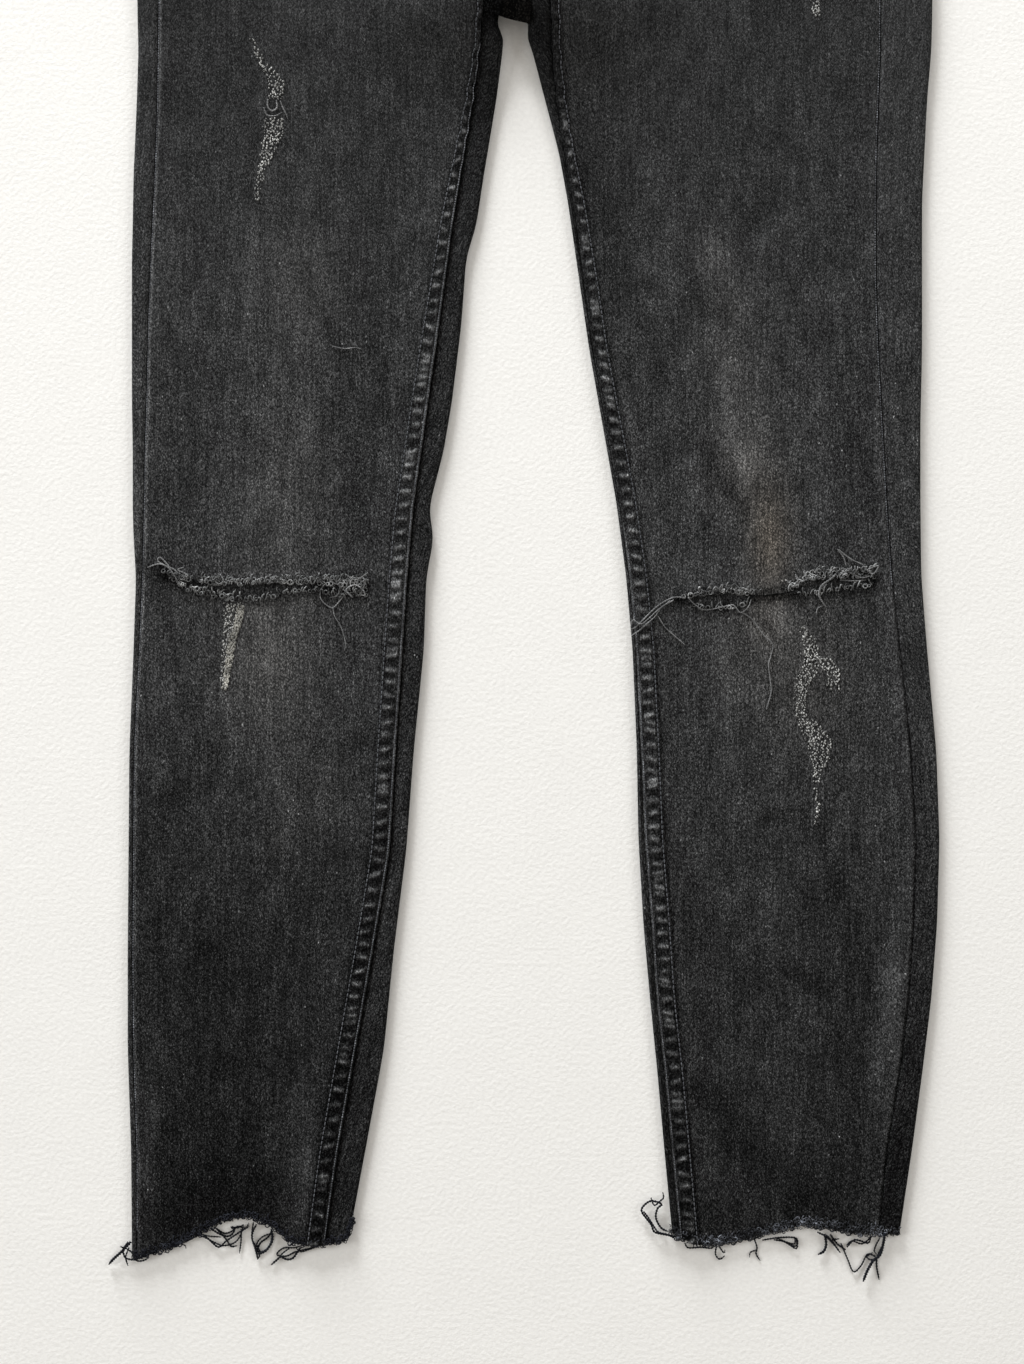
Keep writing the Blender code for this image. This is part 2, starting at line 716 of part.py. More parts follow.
def stand_on_origin():
    """Moves every mesh so that the middle of the garment's box lies over the origin."""
    meshes = [thing.data for thing in bpy.context.scene.collection.objects]
    corners = np.array([vertex.co for mesh in meshes for vertex in mesh.vertices])
    middle = (corners.min(axis=0) + corners.max(axis=0)) / 2.0
    for mesh in meshes:
        for vertex in mesh.vertices:
            vertex.co.x -= middle[0]
            vertex.co.y -= middle[1]


def build():
    clear_scene()
    denim = finish_material("washed_black_denim", DENIM, 0.92)
    wrong_side = finish_material("denim_wrong_side", DENIM_WRONG_SIDE, 0.95)
    yarn = finish_material("frayed_yarn", FRAYED_YARN, 0.95)
    metal = finish_material("aged_metal", AGED_METAL, 0.4, metallic=1.0)
    tape = finish_material("zip_tape", ZIP_TAPE, 0.8)
    right = Side("right", -1, RIGHT_OUTLINE, RIGHT_HEM, RIGHT_RIP, RIGHT_FRINGE_REACH)
    left = Side("left", 1, LEFT_OUTLINE, LEFT_HEM, LEFT_RIP, LEFT_FRINGE_REACH)
    for side in (right, left):
        front_hem = front_panel(side, denim, has_fly=side is left)
        back_hem = back_panel(side, denim)
        yoke(side, denim)
        pocket_facing(side, wrong_side)
        back_pocket(side, denim)
        belt_loop("front_" + side.name, side, FRONT_LOOP_ACROSS, False, denim)
        belt_loop("back_" + side.name, side, BACK_LOOP_ACROSS, True, denim)
        fringe(side, (front_hem, back_hem), yarn)
    belt_loop("back_centre", left, 0.0, True, denim)
    waistband(right, left, denim)
    button(left, metal)
    closed_zip(tape)
    stand_on_origin()


build()
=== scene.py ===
"""The look of the ripped jeans: cloth shells, seams, stitches, rips, frayed yarns and trims, laid flat."""

import math

import bpy
import numpy as np
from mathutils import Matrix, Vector, noise


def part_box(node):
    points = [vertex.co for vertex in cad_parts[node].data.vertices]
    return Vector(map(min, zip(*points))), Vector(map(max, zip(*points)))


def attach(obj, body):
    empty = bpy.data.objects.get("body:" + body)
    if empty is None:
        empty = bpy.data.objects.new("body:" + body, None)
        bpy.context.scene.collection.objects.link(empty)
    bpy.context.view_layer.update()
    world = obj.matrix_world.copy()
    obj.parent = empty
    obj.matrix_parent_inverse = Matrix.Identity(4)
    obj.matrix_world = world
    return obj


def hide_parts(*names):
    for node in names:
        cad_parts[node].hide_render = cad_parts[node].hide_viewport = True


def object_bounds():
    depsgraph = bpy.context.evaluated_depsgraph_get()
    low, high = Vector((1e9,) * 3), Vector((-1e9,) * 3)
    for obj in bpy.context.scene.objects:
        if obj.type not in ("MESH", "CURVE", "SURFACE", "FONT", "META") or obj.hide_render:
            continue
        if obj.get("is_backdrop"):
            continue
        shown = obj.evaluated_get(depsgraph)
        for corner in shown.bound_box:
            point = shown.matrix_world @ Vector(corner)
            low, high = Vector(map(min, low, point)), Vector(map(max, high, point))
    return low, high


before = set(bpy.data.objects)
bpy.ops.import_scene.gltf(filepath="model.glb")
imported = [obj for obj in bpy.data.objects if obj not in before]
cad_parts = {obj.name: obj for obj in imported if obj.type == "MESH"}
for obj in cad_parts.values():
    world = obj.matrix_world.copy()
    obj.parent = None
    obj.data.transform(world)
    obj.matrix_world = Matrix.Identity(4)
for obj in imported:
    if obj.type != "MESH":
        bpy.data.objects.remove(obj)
cad_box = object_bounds()

# ----------------------------------------------------------------------
# Back panels. Each is one piece of washed black stretch denim from hem to yoke seam, a millimetre thick.
# On a flat-laid leg it runs under the front and comes round both folds to meet it at the two side seams.

# Sizes and places are in millimetres from here on, and tones in stops from the denim's ground
MM = 0.001
CLOTH = 1.0
STEP = 2.5
HEM_BEND = 60.0
HEM_CORNER = 0.5
HEM_STEP = 1.5
HEM_CLEAR = 45.0
HEM_SIDES = 15.0
EVEN_STEPS = 2
FOLD_TURNS = 8
UNDER_STEPS = 14
STRIP_SHARES = (0.0, 0.03, 0.07, 0.13, 0.2, 0.3, 0.4, 0.5, 0.6, 0.7, 0.8, 0.9, 1.0)
SEAM_GAP = 0.15
SEAM_SINK = 0.7
SEAM_WIDTH = 1.1
POCKET_LIFT = 1.3
CROTCH = 262.0
CROTCH_LOFT = 11.0
CROTCH_REACH = 36.0
CROTCH_TUCK = 4.0
TUCK_FROM = 235.0
TUCK_EASE = 12.0
LEFT_ROLL = 1.4
ROLL_MIDDLE = -60.0
ROLL_REACH = 150.0
FORK_CLOSES = 16.0
FORK_WIDTH = 9.0
CENTRE_GAP = 0.3
TOP_CORNER = 6.0
TOP_RUN = 40.0
SLOPE_STEPS = 12


def cad_edges(*names):
    """Both ends of every edge of some CAD nodes, in millimetres."""
    runs = []
    for name in names:
        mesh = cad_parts[name].data
        points = np.array([vertex.co for vertex in mesh.vertices]) / MM
        runs.append(points[[tuple(edge.vertices) for edge in mesh.edges]])
    return np.concatenate(runs)


def crossings(runs, axis, place):
    """The points where edges cross the plane at a place along an axis."""
    start, end = runs[:, 0], runs[:, 1]
    span = end[:, axis] - start[:, axis]
    share = (place - start[:, axis]) / np.where(np.abs(span) < 1e-9, 1e-9, span)
    on = (share >= 0.0) & (share <= 1.0)
    return start[on] + (end[on] - start[on]) * share[on, None]


def evened(values, steps=EVEN_STEPS):
    """A run of values with its corners rounded over so many steps."""
    weights = np.exp(-0.5 * (np.arange(-3 * steps, 3 * steps + 1) / steps) ** 2)
    padded = np.pad(values, 3 * steps, mode="reflect", reflect_type="odd")
    return np.convolve(padded, weights / weights.sum(), mode="valid")


def fading(distance, reach):
    """1 at no distance, down to 0 at the reach and level there."""
    return np.clip(1.0 - np.abs(distance) / reach, 0.0, 1.0) ** 2


def bell(distance, width, power=2):
    """1 at no distance, falling away smoothly over a width."""
    return np.exp(-((distance / width) ** power))


def eased(share):
    """0 up to a share of 0 and 1 from a share of 1, level at both."""
    share = np.clip(share, 0.0, 1.0)
    return share * share * (3.0 - 2.0 * share)


def crotch_loft(height):
    """How much higher the legs stand at their inner sides near the crotch, where the seams meet."""
    return CROTCH_LOFT * bell(height - CROTCH, CROTCH_REACH)


def placed(x, y, z):
    """Points from their X, Y and height, each a number, a run or a grid."""
    return np.stack(np.broadcast_arrays(x, y, z), axis=-1)


WAIST_EDGES = cad_edges("waistband")
BAND_HEIGHT = 38.0
WAIST_SIDE = crossings(WAIST_EDGES, 0, WAIST_EDGES[:, :, 0].min() + 1.0)[:, 1].min()
WAIST_FRONT = WAIST_EDGES[:, :, 1].min()
FORK = 275.5
WAVE_DEPTH = 0.3
WAVE_LENGTHS = (17.0, 9.7)
WAVE_FROM = 140.0
WAVE_EASE = 50.0
WAVE_END = 10.0


def fold_wave(height):
    """The wave of the inseam's fold edge where it has shrunk on its stitches, under the crotch."""
    wave = sum(WAVE_DEPTH * np.sin(height * 2.0 * math.pi / length) for length in WAVE_LENGTHS)
    return wave * eased((height - WAVE_FROM) / WAVE_EASE) * eased((FORK - WAVE_END - height) / WAVE_END)


class Half:
    """Half of the garment as it lies: its folds, seams and hem, read from the CAD nodes.

    "out" is a distance from X = 0 towards this half's side seam, and heights run up Y, in millimetres.
    """

    def __init__(self, name, sign):
        self.name = name
        self.sign = sign
        back = cad_edges("back_" + name, "yoke_" + name)
        front = cad_edges("front_" + name)
        outer = cad_edges("front_" + name, "pocket_facing_" + name)
        lowest = back[:, :, 1].min()
        above = crossings(back, 1, lowest + HEM_CLEAR)[:, 0] * sign
        middle = np.arange(above.min() + HEM_SIDES, above.max() - HEM_SIDES, 2.0)
        self.hem_top = max(crossings(back, 0, sign * out)[:, 1].min() for out in middle)
        over_hem = crossings(back, 1, self.hem_top + 1.0)[:, 0] * sign
        self.hem_out = np.arange(over_hem.min() + HEM_CORNER, over_hem.max() - HEM_CORNER, HEM_STEP)
        hem = [crossings(back, 0, sign * out)[:, 1].min() for out in self.hem_out]
        self.hem_line = evened(np.array(hem), 1)
        self.hem_level = float(self.hem_line.mean())
        self.heights = np.arange(lowest - 5.0, WAIST_SIDE + BAND_HEIGHT, STEP)
        self.outer_fold = self.line(back, 0, max)
        centre = self.line(back, 0, min)
        tuck = eased((self.heights - TUCK_FROM) / TUCK_EASE)
        tuck = tuck * (1.0 - eased((self.heights - CROTCH) / TUCK_EASE))
        self.inner_fold = centre + CROTCH_TUCK * tuck
        self.outseam = self.line(outer, 0, max)
        self.inseam = self.line(front, 0, min) + fold_wave(self.heights)
        if name == "left":
            self.inseam = self.inseam - LEFT_ROLL * bell(self.heights - ROLL_MIDDLE, ROLL_REACH, 4)
        parted = FORK_WIDTH * (1.0 - eased((self.heights - FORK) / FORK_CLOSES)) + CENTRE_GAP
        closed = np.minimum(self.inseam, centre + parted)
        self.inseam = np.where(self.heights > FORK, closed, self.inseam)
        corner = WAIST_FRONT - TOP_CORNER
        slope = (self.at(self.inseam, corner) - self.at(self.inseam, corner - TOP_RUN)) / TOP_RUN
        straight = self.at(self.inseam, corner) + slope * (self.heights - corner)
        self.inseam = np.where(self.heights > corner, straight, self.inseam)
        self.depth = self.line(back, 2, max)

    def line(self, runs, axis, pick):
        """A fold, seam or depth by height, running on straight below the top of the hem."""
        turn = self.sign if axis == 0 else 1.0
        first = int(np.searchsorted(self.heights, self.hem_top + 2.0))
        top = runs[:, :, 1].max() - 0.5
        levels = np.minimum(self.heights[first:], top)
        known = [pick(crossings(runs, 1, level)[:, axis] * turn) for level in levels]
        slope = (known[SLOPE_STEPS] - known[0]) / SLOPE_STEPS
        below = [known[0] - slope * step for step in range(first, 0, -1)]
        return evened(np.array(below + known))

    def at(self, line, height):
        return np.interp(height, self.heights, line)

    def placed(self, out, y, z):
        return placed(self.sign * out, y, z)

    def share_out(self, out, height):
        """How far out a place lies: 0 at the inseam or centre seam, 1 at the outer fold."""
        inner = self.at(self.inseam, height)
        return (out - inner) / (self.at(self.outer_fold, height) - inner)

    def hem_at(self, out):
        return np.interp(out, self.hem_out, self.hem_line)

    def hem_bend(self, out, height):
        """How far the cloth's rows bend off the level to follow the hem."""
        return (self.hem_at(out) - self.hem_level) * fading(height - self.hem_level, HEM_BEND)


RIGHT, LEFT = HALVES = Half("right", -1), Half("left", 1)


class Value:
    """An output of a node. Arithmetic on it adds Math nodes to its tree."""

    def __init__(self, graph, socket):
        self.graph = graph
        self.socket = socket

    def other(self, output):
        """Another output of the same node."""
        return Value(self.graph, self.socket.node.outputs[output])

    def math(self, operation, *values):
        return self.graph.add("ShaderNodeMath", {"operation": operation}, dict(enumerate(values)))

    def __add__(self, other):
        return self.math("ADD", self, other)

    def __radd__(self, other):
        return self.math("ADD", other, self)

    def __sub__(self, other):
        return self.math("SUBTRACT", self, other)

    def __rsub__(self, other):
        return self.math("SUBTRACT", other, self)

    def __mul__(self, other):
        return self.math("MULTIPLY", self, other)

    def __rmul__(self, other):
        return self.math("MULTIPLY", other, self)

    def __truediv__(self, other):
        return self.math("DIVIDE", self, other)

    def __rpow__(self, base):
        return self.math("POWER", base, self)

    def floor(self):
        return self.math("FLOOR", self)

    def fraction(self):
        return self.math("FRACT", self)

    def sine(self):
        return self.math("SINE", self)

    def over(self, level):
        """1 where the value is over a level, and 0 elsewhere."""
        return self.math("GREATER_THAN", self, level)


class Graph:
    """A node tree as it is written. A finish's tree ends in its shader."""

    def __init__(self, tree):
        self.tree = tree
        self.shader = tree.nodes.get("Principled BSDF")

    def add(self, kind, settings=None, inputs=None, output=0):
        """One node: its type, its settings and then its sockets' values or links."""
        node = self.tree.nodes.new(kind)
        for name, setting in (settings or {}).items():
            setattr(node, name, setting)
        for name, value in (inputs or {}).items():
            if isinstance(value, (Value, list)):
                for source in value if isinstance(value, list) else [value]:
                    self.tree.links.new(source.socket, node.inputs[name])
            else:
                node.inputs[name].default_value = value
        return Value(self, node.outputs[output] if node.outputs else None)

    def vector(self, x, y, z=0.0):
        return self.add("ShaderNodeCombineXYZ", {}, {0: x, 1: y, 2: z})

    def noisy(self, place, scale, detail, dimensions="3D"):
        """Soft noise from 0 to 1, mostly near a half."""
        sockets = {"Vector": place, "Scale": scale, "Detail": detail}
        return self.add("ShaderNodeTexNoise", {"noise_dimensions": dimensions}, sockets)

    def cloudy(self, place, detail):
        """Soft noise about 0 on a flat map, mostly from -1 to 1."""
        return (self.noisy(place, 1.0, detail, "2D") - 0.5) * 4.0

    def speckled(self, place):
        """A fixed chance value from 0 to 1 for each place on a flat map."""
        return self.add("ShaderNodeTexWhiteNoise", {"noise_dimensions": "2D"}, {"Vector": place})

    def scaled(self, vector, size):
        return self.add("ShaderNodeVectorMath", {"operation": "SCALE"}, {0: vector, "Scale": size})

    def feed(self, socket, value):
        """Leads a value into the finish's shader."""
        self.tree.links.new(value.socket, self.shader.inputs[socket])

    def emboss(self, height, depth, strength=1.0):
        """Leads bumps of a height into the shader, depth being in millimetres."""
        sockets = {"Strength": strength, "Distance": depth * MM, "Height": height}
        self.feed("Normal", self.add("ShaderNodeBump", {}, sockets))


def finish_named(name, roughness, metallic=0.0, specular=0.5):
    """A material and its graph, with what is even all over set on the shader."""
    material = bpy.data.materials.new(name)
    material.use_nodes = True
    graph = Graph(material.node_tree)
    graph.shader.inputs["Roughness"].default_value = roughness
    graph.shader.inputs["Metallic"].default_value = metallic
    graph.shader.inputs["Specular IOR Level"].default_value = specular
    return material, graph


DENIM_GROUND = 0.0302
COOL_BLACK = (0.99, 1.0, 1.01, 1.0)
# The warm tint of worn cloth, also used for the painted warm shade at the crotch
WARM_WEAR_AND_SHADE = (1.12, 1.0, 0.87, 1.0)
WARP_PITCH = 0.42
FLOAT_LENGTH = 0.9
TWILL_RISE = 0.28
LINT_SIZE = (0.8, 1.1)
LINT_SHARE = 0.9985
FLECK_SIZE = (0.62, 0.72)
FLECK_SHIFT = 40.0
STREAK_SIZE = (1.3, 45.0)
GRAIN_SIZE = (1.1, 1.6)
MOTTLE_SIZE = (11.0, 24.2)
# How strongly each of the cloth's marks shows, in stops from its darkest to its palest
SPECK_STOPS = 2.5
FLECK_STOPS = 1.4
LINT_STOPS = 1.6
STREAK_STOPS = 0.36
GRAIN_STOPS = 0.4
MOTTLE_STOPS = 0.42
BUMP_DEPTH = 0.12
BUMP_STRENGTH = 0.55
# How strong the twill shows down the leg: from which height to which, and from which share to which
WEAR_RANGE = (250.0, 0.0, 0.82, 1.17)
WORN_FLECKS = 0.04
DARK_GRAIN = 0.12


def denim(name="washed_black_denim", ground=DENIM_GROUND):
    """Stretch twill, dyed black and washed down. Its marks "tone" (in stops) and "warmth" lie on it."""
    material, graph = finish_named(name, roughness=0.9, specular=0.03)
    place = graph.add("ShaderNodeUVMap", {"uv_map": "threads"})
    split = graph.add("ShaderNodeSeparateXYZ", {}, {0: place})
    across, along = split / MM, split.other("Y") / MM

    def cell(size):
        """Which cell of a grid a place is in, counted across and along the threads."""
        return (across / size[0]).floor(), (along / size[1]).floor()

    def stretched(size):
        return graph.vector(across / size[0], along / size[1])

    yarn = across / WARP_PITCH
    pick = along / FLOAT_LENGTH + yarn.floor() * TWILL_RISE
    speck = graph.speckled(graph.vector(yarn.floor(), pick.floor()))
    lint = graph.speckled(graph.vector(*cell(LINT_SIZE))).over(LINT_SHARE)
    fleck_across, fleck_along = cell(FLECK_SIZE)
    fleck = graph.speckled(graph.vector(fleck_across + FLECK_SHIFT, fleck_along))
    streak = graph.cloudy(stretched(STREAK_SIZE), 1.0)
    grain = graph.cloudy(stretched(GRAIN_SIZE), 1.0)
    mottle = graph.cloudy(stretched(MOTTLE_SIZE), 3.0)
    mark = graph.add("ShaderNodeAttribute", {"attribute_name": "tone"}, {}, "Fac")
    warmth = graph.add("ShaderNodeAttribute", {"attribute_name": "warmth"}, {}, "Fac")
    twill = (speck - 0.5) * SPECK_STOPS + (fleck - 0.5) * FLECK_STOPS + lint * LINT_STOPS
    uneven = streak * STREAK_STOPS + grain * GRAIN_STOPS + mottle * MOTTLE_STOPS
    wear = graph.add("ShaderNodeMapRange", {}, dict(enumerate((along, *WEAR_RANGE))))
    stops = mark + (twill + uneven) * wear * (1.0 - mark * DARK_GRAIN)
    tint = graph.add("ShaderNodeMix", {"data_type": "RGBA"}, {0: warmth, 6: COOL_BLACK, 7: WARM_WEAR_AND_SHADE}, 2)
    worn = fleck.math("MAXIMUM", fleck - 0.7, 0.0) * WORN_FLECKS
    graph.feed("Base Color", graph.scaled(tint, ground * 2.0**stops + worn))
    ridge = (yarn.fraction() * math.pi).sine() + (pick.fraction() * math.pi).sine() * 0.7 + speck * 0.5
    graph.emboss(ridge + grain * 0.5 + mottle * 1.2, BUMP_DEPTH, BUMP_STRENGTH)
    return material


DENIM = denim()
LINING_TONE = 0.4
SHARP_FOLD = math.radians(60.0)


def new_piece(name, points, faces, edges=()):
    """A new object of the scene, from its points, in millimetres, and its faces or its loose edges."""
    mesh = bpy.data.meshes.new(name)
    mesh.from_pydata((np.asarray(points) * MM).tolist(), edges, faces)
    piece = bpy.data.objects.new(name, mesh)
    bpy.context.scene.collection.objects.link(piece)
    return piece


def fixed(piece, node=None):
    """Puts a piece on the garment's one body, in place of its CAD node, if any."""
    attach(piece, "root")
    if node:
        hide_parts(node)


def cloth_piece(
    name, face, lining, across, tone, warmth=0.0, along=None, ids=None, cells=None, turned=False
):
    """A closed shell of cloth between two grids of points, with its thread map and its marks.

    across and along are where each point lies over its threads, along being its Y if not given. ids joins
    points of the grid, and cells leaves some out.
    """
    rows, columns = face.shape[:2]
    along = face[:, :, 1] if along is None else along
    shape = (rows, columns)
    across, along, tone, warmth = (np.broadcast_to(mark, shape) for mark in (across, along, tone, warmth))
    if ids is None:
        ids = np.arange(rows * columns).reshape(rows, columns)
    if cells is None:
        cells = np.ones((rows - 1, columns - 1), bool)
    row, column = np.nonzero(cells)
    corners = ((row, column), (row, column + 1), (row + 1, column + 1), (row + 1, column))
    quads = np.stack([ids[corner] for corner in corners], axis=1)
    if turned:
        quads = quads[:, ::-1]
    starts, ends = quads.ravel(), np.roll(quads, -1, axis=1).ravel()
    total = rows * columns
    rim = ~np.isin(starts * total + ends, ends * total + starts)
    starts, ends = starts[rim], ends[rim]
    walls = np.stack([ends, starts, starts + total, ends + total], axis=1)
    faces = np.concatenate([quads, quads[:, ::-1] + total, walls])
    used, faces = np.unique(faces, return_inverse=True)
    faces = faces.reshape(-1, 4)
    points = np.concatenate([face.reshape(-1, 3), lining.reshape(-1, 3)])[used]
    threads = np.stack([across.ravel(), along.ravel()], axis=1)
    threads = np.concatenate([threads, threads])[used] * MM
    on_lining = used >= total
    tones = np.concatenate([tone.ravel(), tone.ravel()])[used] + np.where(on_lining, LINING_TONE, 0.0)
    warm = warmth.ravel()

    piece = new_piece(name, points, faces.tolist())
    mesh = piece.data
    mesh.attributes.new("tone", "FLOAT", "POINT").data.foreach_set("value", tones.astype(np.float32))
    marks = mesh.attributes.new("warmth", "FLOAT", "POINT").data
    marks.foreach_set("value", np.concatenate([warm, warm])[used].astype(np.float32))
    layer = mesh.uv_layers.new(name="threads")
    layer.data.foreach_set("uv", threads[faces.ravel()].astype(np.float32).ravel())
    mesh.shade_smooth()
    mesh.set_sharp_from_angle(angle=SHARP_FOLD)

    flat = np.stack([across, along], axis=2) * MM
    one, two = flat[1:, 1:] - flat[:-1, :-1], flat[1:, :-1] - flat[:-1, 1:]
    areas = np.abs(one[:, :, 0] * two[:, :, 1] - one[:, :, 1] * two[:, :, 0]) / 2.0
    width, length = np.ptp(flat.reshape(-1, 2), axis=0)
    piece["cut"] = (width, length, float(areas[cells].sum()))
    return piece


def sewn(piece, node, material=DENIM):
    """Gives a cloth shell its finish and its CAD node's place."""
    piece.data.materials.append(material)
    fixed(piece, node)


def run_length(points):
    """How far along each row of points every point lies."""
    steps = np.linalg.norm(np.diff(points, axis=1), axis=2)
    return np.concatenate([np.zeros((len(points), 1)), np.cumsum(steps, axis=1)], axis=1)


def seam_groove(distance):
    """How far cloth turns down into a seam at a distance from it."""
    return SEAM_SINK * bell(distance, SEAM_WIDTH)


FOLD_DROP = 1.8
LEAST_STRIP = 0.3
INSEAM_SINK = 1.1
INSEAM_SINK_WIDTH = 3.0
POCKET_FOOT = 261.5
POCKET_TOP = 377.5
POCKET_ROOM = 8.0
POCKET_EASE = 6.0
POCKET_SHARES = (0.17, 0.9)
POCKET_SHARE_EASE = 0.035
YOKE_SEAM_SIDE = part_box("back_right")[1].y / MM
YOKE_RISE = 28.0
UNDER_TONE = -0.2
# Painted shadow beside the raised inseam band, on the back's last three columns
INSEAM_SHADOW = np.array([-0.8, -2.0, -2.8])
TURNS = np.radians(np.linspace(90.0, -90.0, FOLD_TURNS + 1))
WRAP_COLUMNS = (
    [("outer strip", share) for share in STRIP_SHARES]
    + [("outer fold", turn) for turn in TURNS[1:-1]]
    + [("under", share) for share in np.linspace(0.0, 1.0, UNDER_STEPS + 1)]
    + [("inner fold", turn) for turn in TURNS[-2:0:-1]]
    + [("inner strip", share) for share in STRIP_SHARES[::-1]]
)
UNDER_END = len(STRIP_SHARES) + len(TURNS) - 2 + UNDER_STEPS + 1
UNDER_MIDDLE = UNDER_END - UNDER_STEPS // 2 - 1


def wrap_point(half, stretch, share, height, folded):
    """Where a column of the back lies out and up at some heights, and which way its wrong side faces.

    folded is 1 where the back turns up at its inner edge, and 0 where it lies flat to the centre seam.
    """
    depth = half.at(half.depth, height)
    radius = depth / 2.0
    outer = half.at(half.outer_fold, height) - radius
    inner_radius = radius + crotch_loft(height) / 2.0
    inner_radius = inner_radius - FOLD_DROP / 2.0 * np.clip((height - FORK) / FORK_CLOSES, 0.0, 1.0)
    inner = half.at(half.inner_fold, height) + np.where(folded, inner_radius, SEAM_GAP)
    if stretch == "outer strip":
        seam = np.minimum(half.at(half.outseam, height) + SEAM_GAP, outer - LEAST_STRIP)
        distance = (outer - seam) * share
        return seam + distance, depth - seam_groove(distance), 0.0, -1.0
    if stretch == "inner strip":
        seam = np.maximum(half.at(half.inseam, height) - SEAM_GAP, inner + LEAST_STRIP)
        distance = (seam - inner) * share
        sink = INSEAM_SINK * bell(distance, INSEAM_SINK_WIDTH)
        return seam - distance, 2.0 * inner_radius - sink, 0.0, -1.0
    if stretch == "under":
        out = outer + (inner - outer) * share
        outer_side, inner_side = POCKET_SHARES
        pocket = eased((share - outer_side) / POCKET_SHARE_EASE)
        pocket *= eased((inner_side - share) / POCKET_SHARE_EASE)
        above_foot = eased((height - POCKET_FOOT + POCKET_ROOM) / POCKET_EASE)
        pocket *= above_foot * eased((POCKET_TOP + POCKET_ROOM - height) / POCKET_EASE)
        return out, POCKET_LIFT * pocket, 0.0, 1.0
    turn_in, turn_up = -math.cos(share), -math.sin(share)
    if stretch == "outer fold":
        return outer - radius * turn_in, radius - radius * turn_up, turn_in, turn_up
    return inner + inner_radius * turn_in, inner_radius - inner_radius * turn_up, -turn_in, turn_up


def wrapped(half, levels, bend):
    """Rows of the back from the outseam round the outer fold, under the leg and round the inner fold.

    Gives the face, the lining, and where each point lies across the threads.
    """
    levels = np.asarray(levels, float)
    folded = levels < FORK + FORK_CLOSES
    face = np.zeros((len(levels), len(WRAP_COLUMNS), 3))
    inside = np.zeros_like(face)
    for column, (stretch, share) in enumerate(WRAP_COLUMNS):
        height = levels
        for _ in range(3):
            out, rise, inwards, upwards = wrap_point(half, stretch, share, height, folded)
            height = levels + bend(out, levels)
        face[:, column] = half.placed(out, height, rise)
        inside[:, column, 0] = half.sign * inwards
        inside[:, column, 2] = upwards
    lining = face + CLOTH * inside
    length = run_length(face * np.array([1.0, 0.0, 1.0]))
    middle = slice(UNDER_MIDDLE, UNDER_MIDDLE + 1)
    across = face[:, middle, 0] - half.sign * (length - length[:, middle])
    return face, lining, across


# The back's strips that show in front, with their wash and, on the inner strips, painted shade that deepens
# towards the crotch: height, tone of the outer and of the inner strip
STRIP_WASH_AND_SHADE = {
    "right": (
        (-490, 0, -1.7), (-400, 0, -1.4), (-300, -0.2, -0.9), (-90, 0.1, -0.9), (180, 0, -1.3),
        (200, 0, -1.9), (232, 0, -1.4), (246, 0, -3.5), (256, 0, -5), (270, 0, -4), (295, 0, -1),
    ),
    "left": (
        (-490, -2.7, -1.7), (-420, -2.2, -1.5), (-330, -1.2, -0.8), (-250, -0.6, -0.4),
        (-100, -0.1, -0.6), (180, 0.1, -0.8), (245, 0.1, -1.9), (270, 0.1, -2.2), (295, 0.1, -0.8),
    ),
}


def by_height(rows, height, column=1):
    """A table's column at some heights, its first column being the heights."""
    table = np.array(rows)
    return np.interp(height, table[:, 0], table[:, column])


def back_bend(half):
    """How the back's rows leave the level: along the hem, and up to the sloping yoke seam."""

    def bend(out, level):
        share = half.share_out(out, level)
        slope = np.clip((level - FORK) / (YOKE_SEAM_SIDE - FORK), 0.0, 1.0)
        return half.hem_bend(out, level) - YOKE_RISE * slope * (1.0 - share)

    return bend


def back_tone(half, face):
    """The tone of the back: its own strips in front, with painted shade on the inner ones and beside the
    inseam, and plain beneath.
    """
    tone = np.full(face.shape[:2], UNDER_TONE)
    strips = len(STRIP_SHARES) + len(TURNS) // 2
    rows = STRIP_WASH_AND_SHADE[half.name]
    tone[:, :strips] = by_height(rows, face[:, :strips, 1], 1)
    tone[:, -strips:] = by_height(rows, face[:, -strips:, 1], 2)
    # Painted shadow of the raised inseam band on the strip beside it
    tone[:, -3:] += INSEAM_SHADOW
    return tone


def back_panel(half):
    levels = np.append(np.arange(half.hem_level, YOKE_SEAM_SIDE, STEP), YOKE_SEAM_SIDE)
    face, lining, across = wrapped(half, levels, back_bend(half))
    cells = np.ones((len(levels) - 1, len(WRAP_COLUMNS) - 1), bool)
    cells[levels[1:] > FORK + FORK_CLOSES, UNDER_END - 1 :] = False
    tone = back_tone(half, face)
    name = "denim_back_" + half.name
    piece = cloth_piece(name, face, lining, across, tone, cells=cells, turned=half is RIGHT)
    sewn(piece, "back_" + half.name)


for half in HALVES:
    back_panel(half)

# ----------------------------------------------------------------------
# Front panels. Each is cut from the same denim, from hem to waist seam, with a scooped pocket mouth.
# The knee is ripped across, and the wash, the wear and the folding have left their marks on the cloth.

SEED = 7
FRONT_SPREAD = 66
FROM_SIDE_SEAM = np.array([0.0, 0.5, 1.1, 1.8, 2.8, 4.2])
FROM_INSEAM = np.array([12.0, 9.5, 7.0, 4.8, 3.0, 1.6, 0.7, 0.0])
MOUTH_WIDTH = 62.0
MOUTH_DEPTH = 75.0
BAND_WIDTH = 12.0
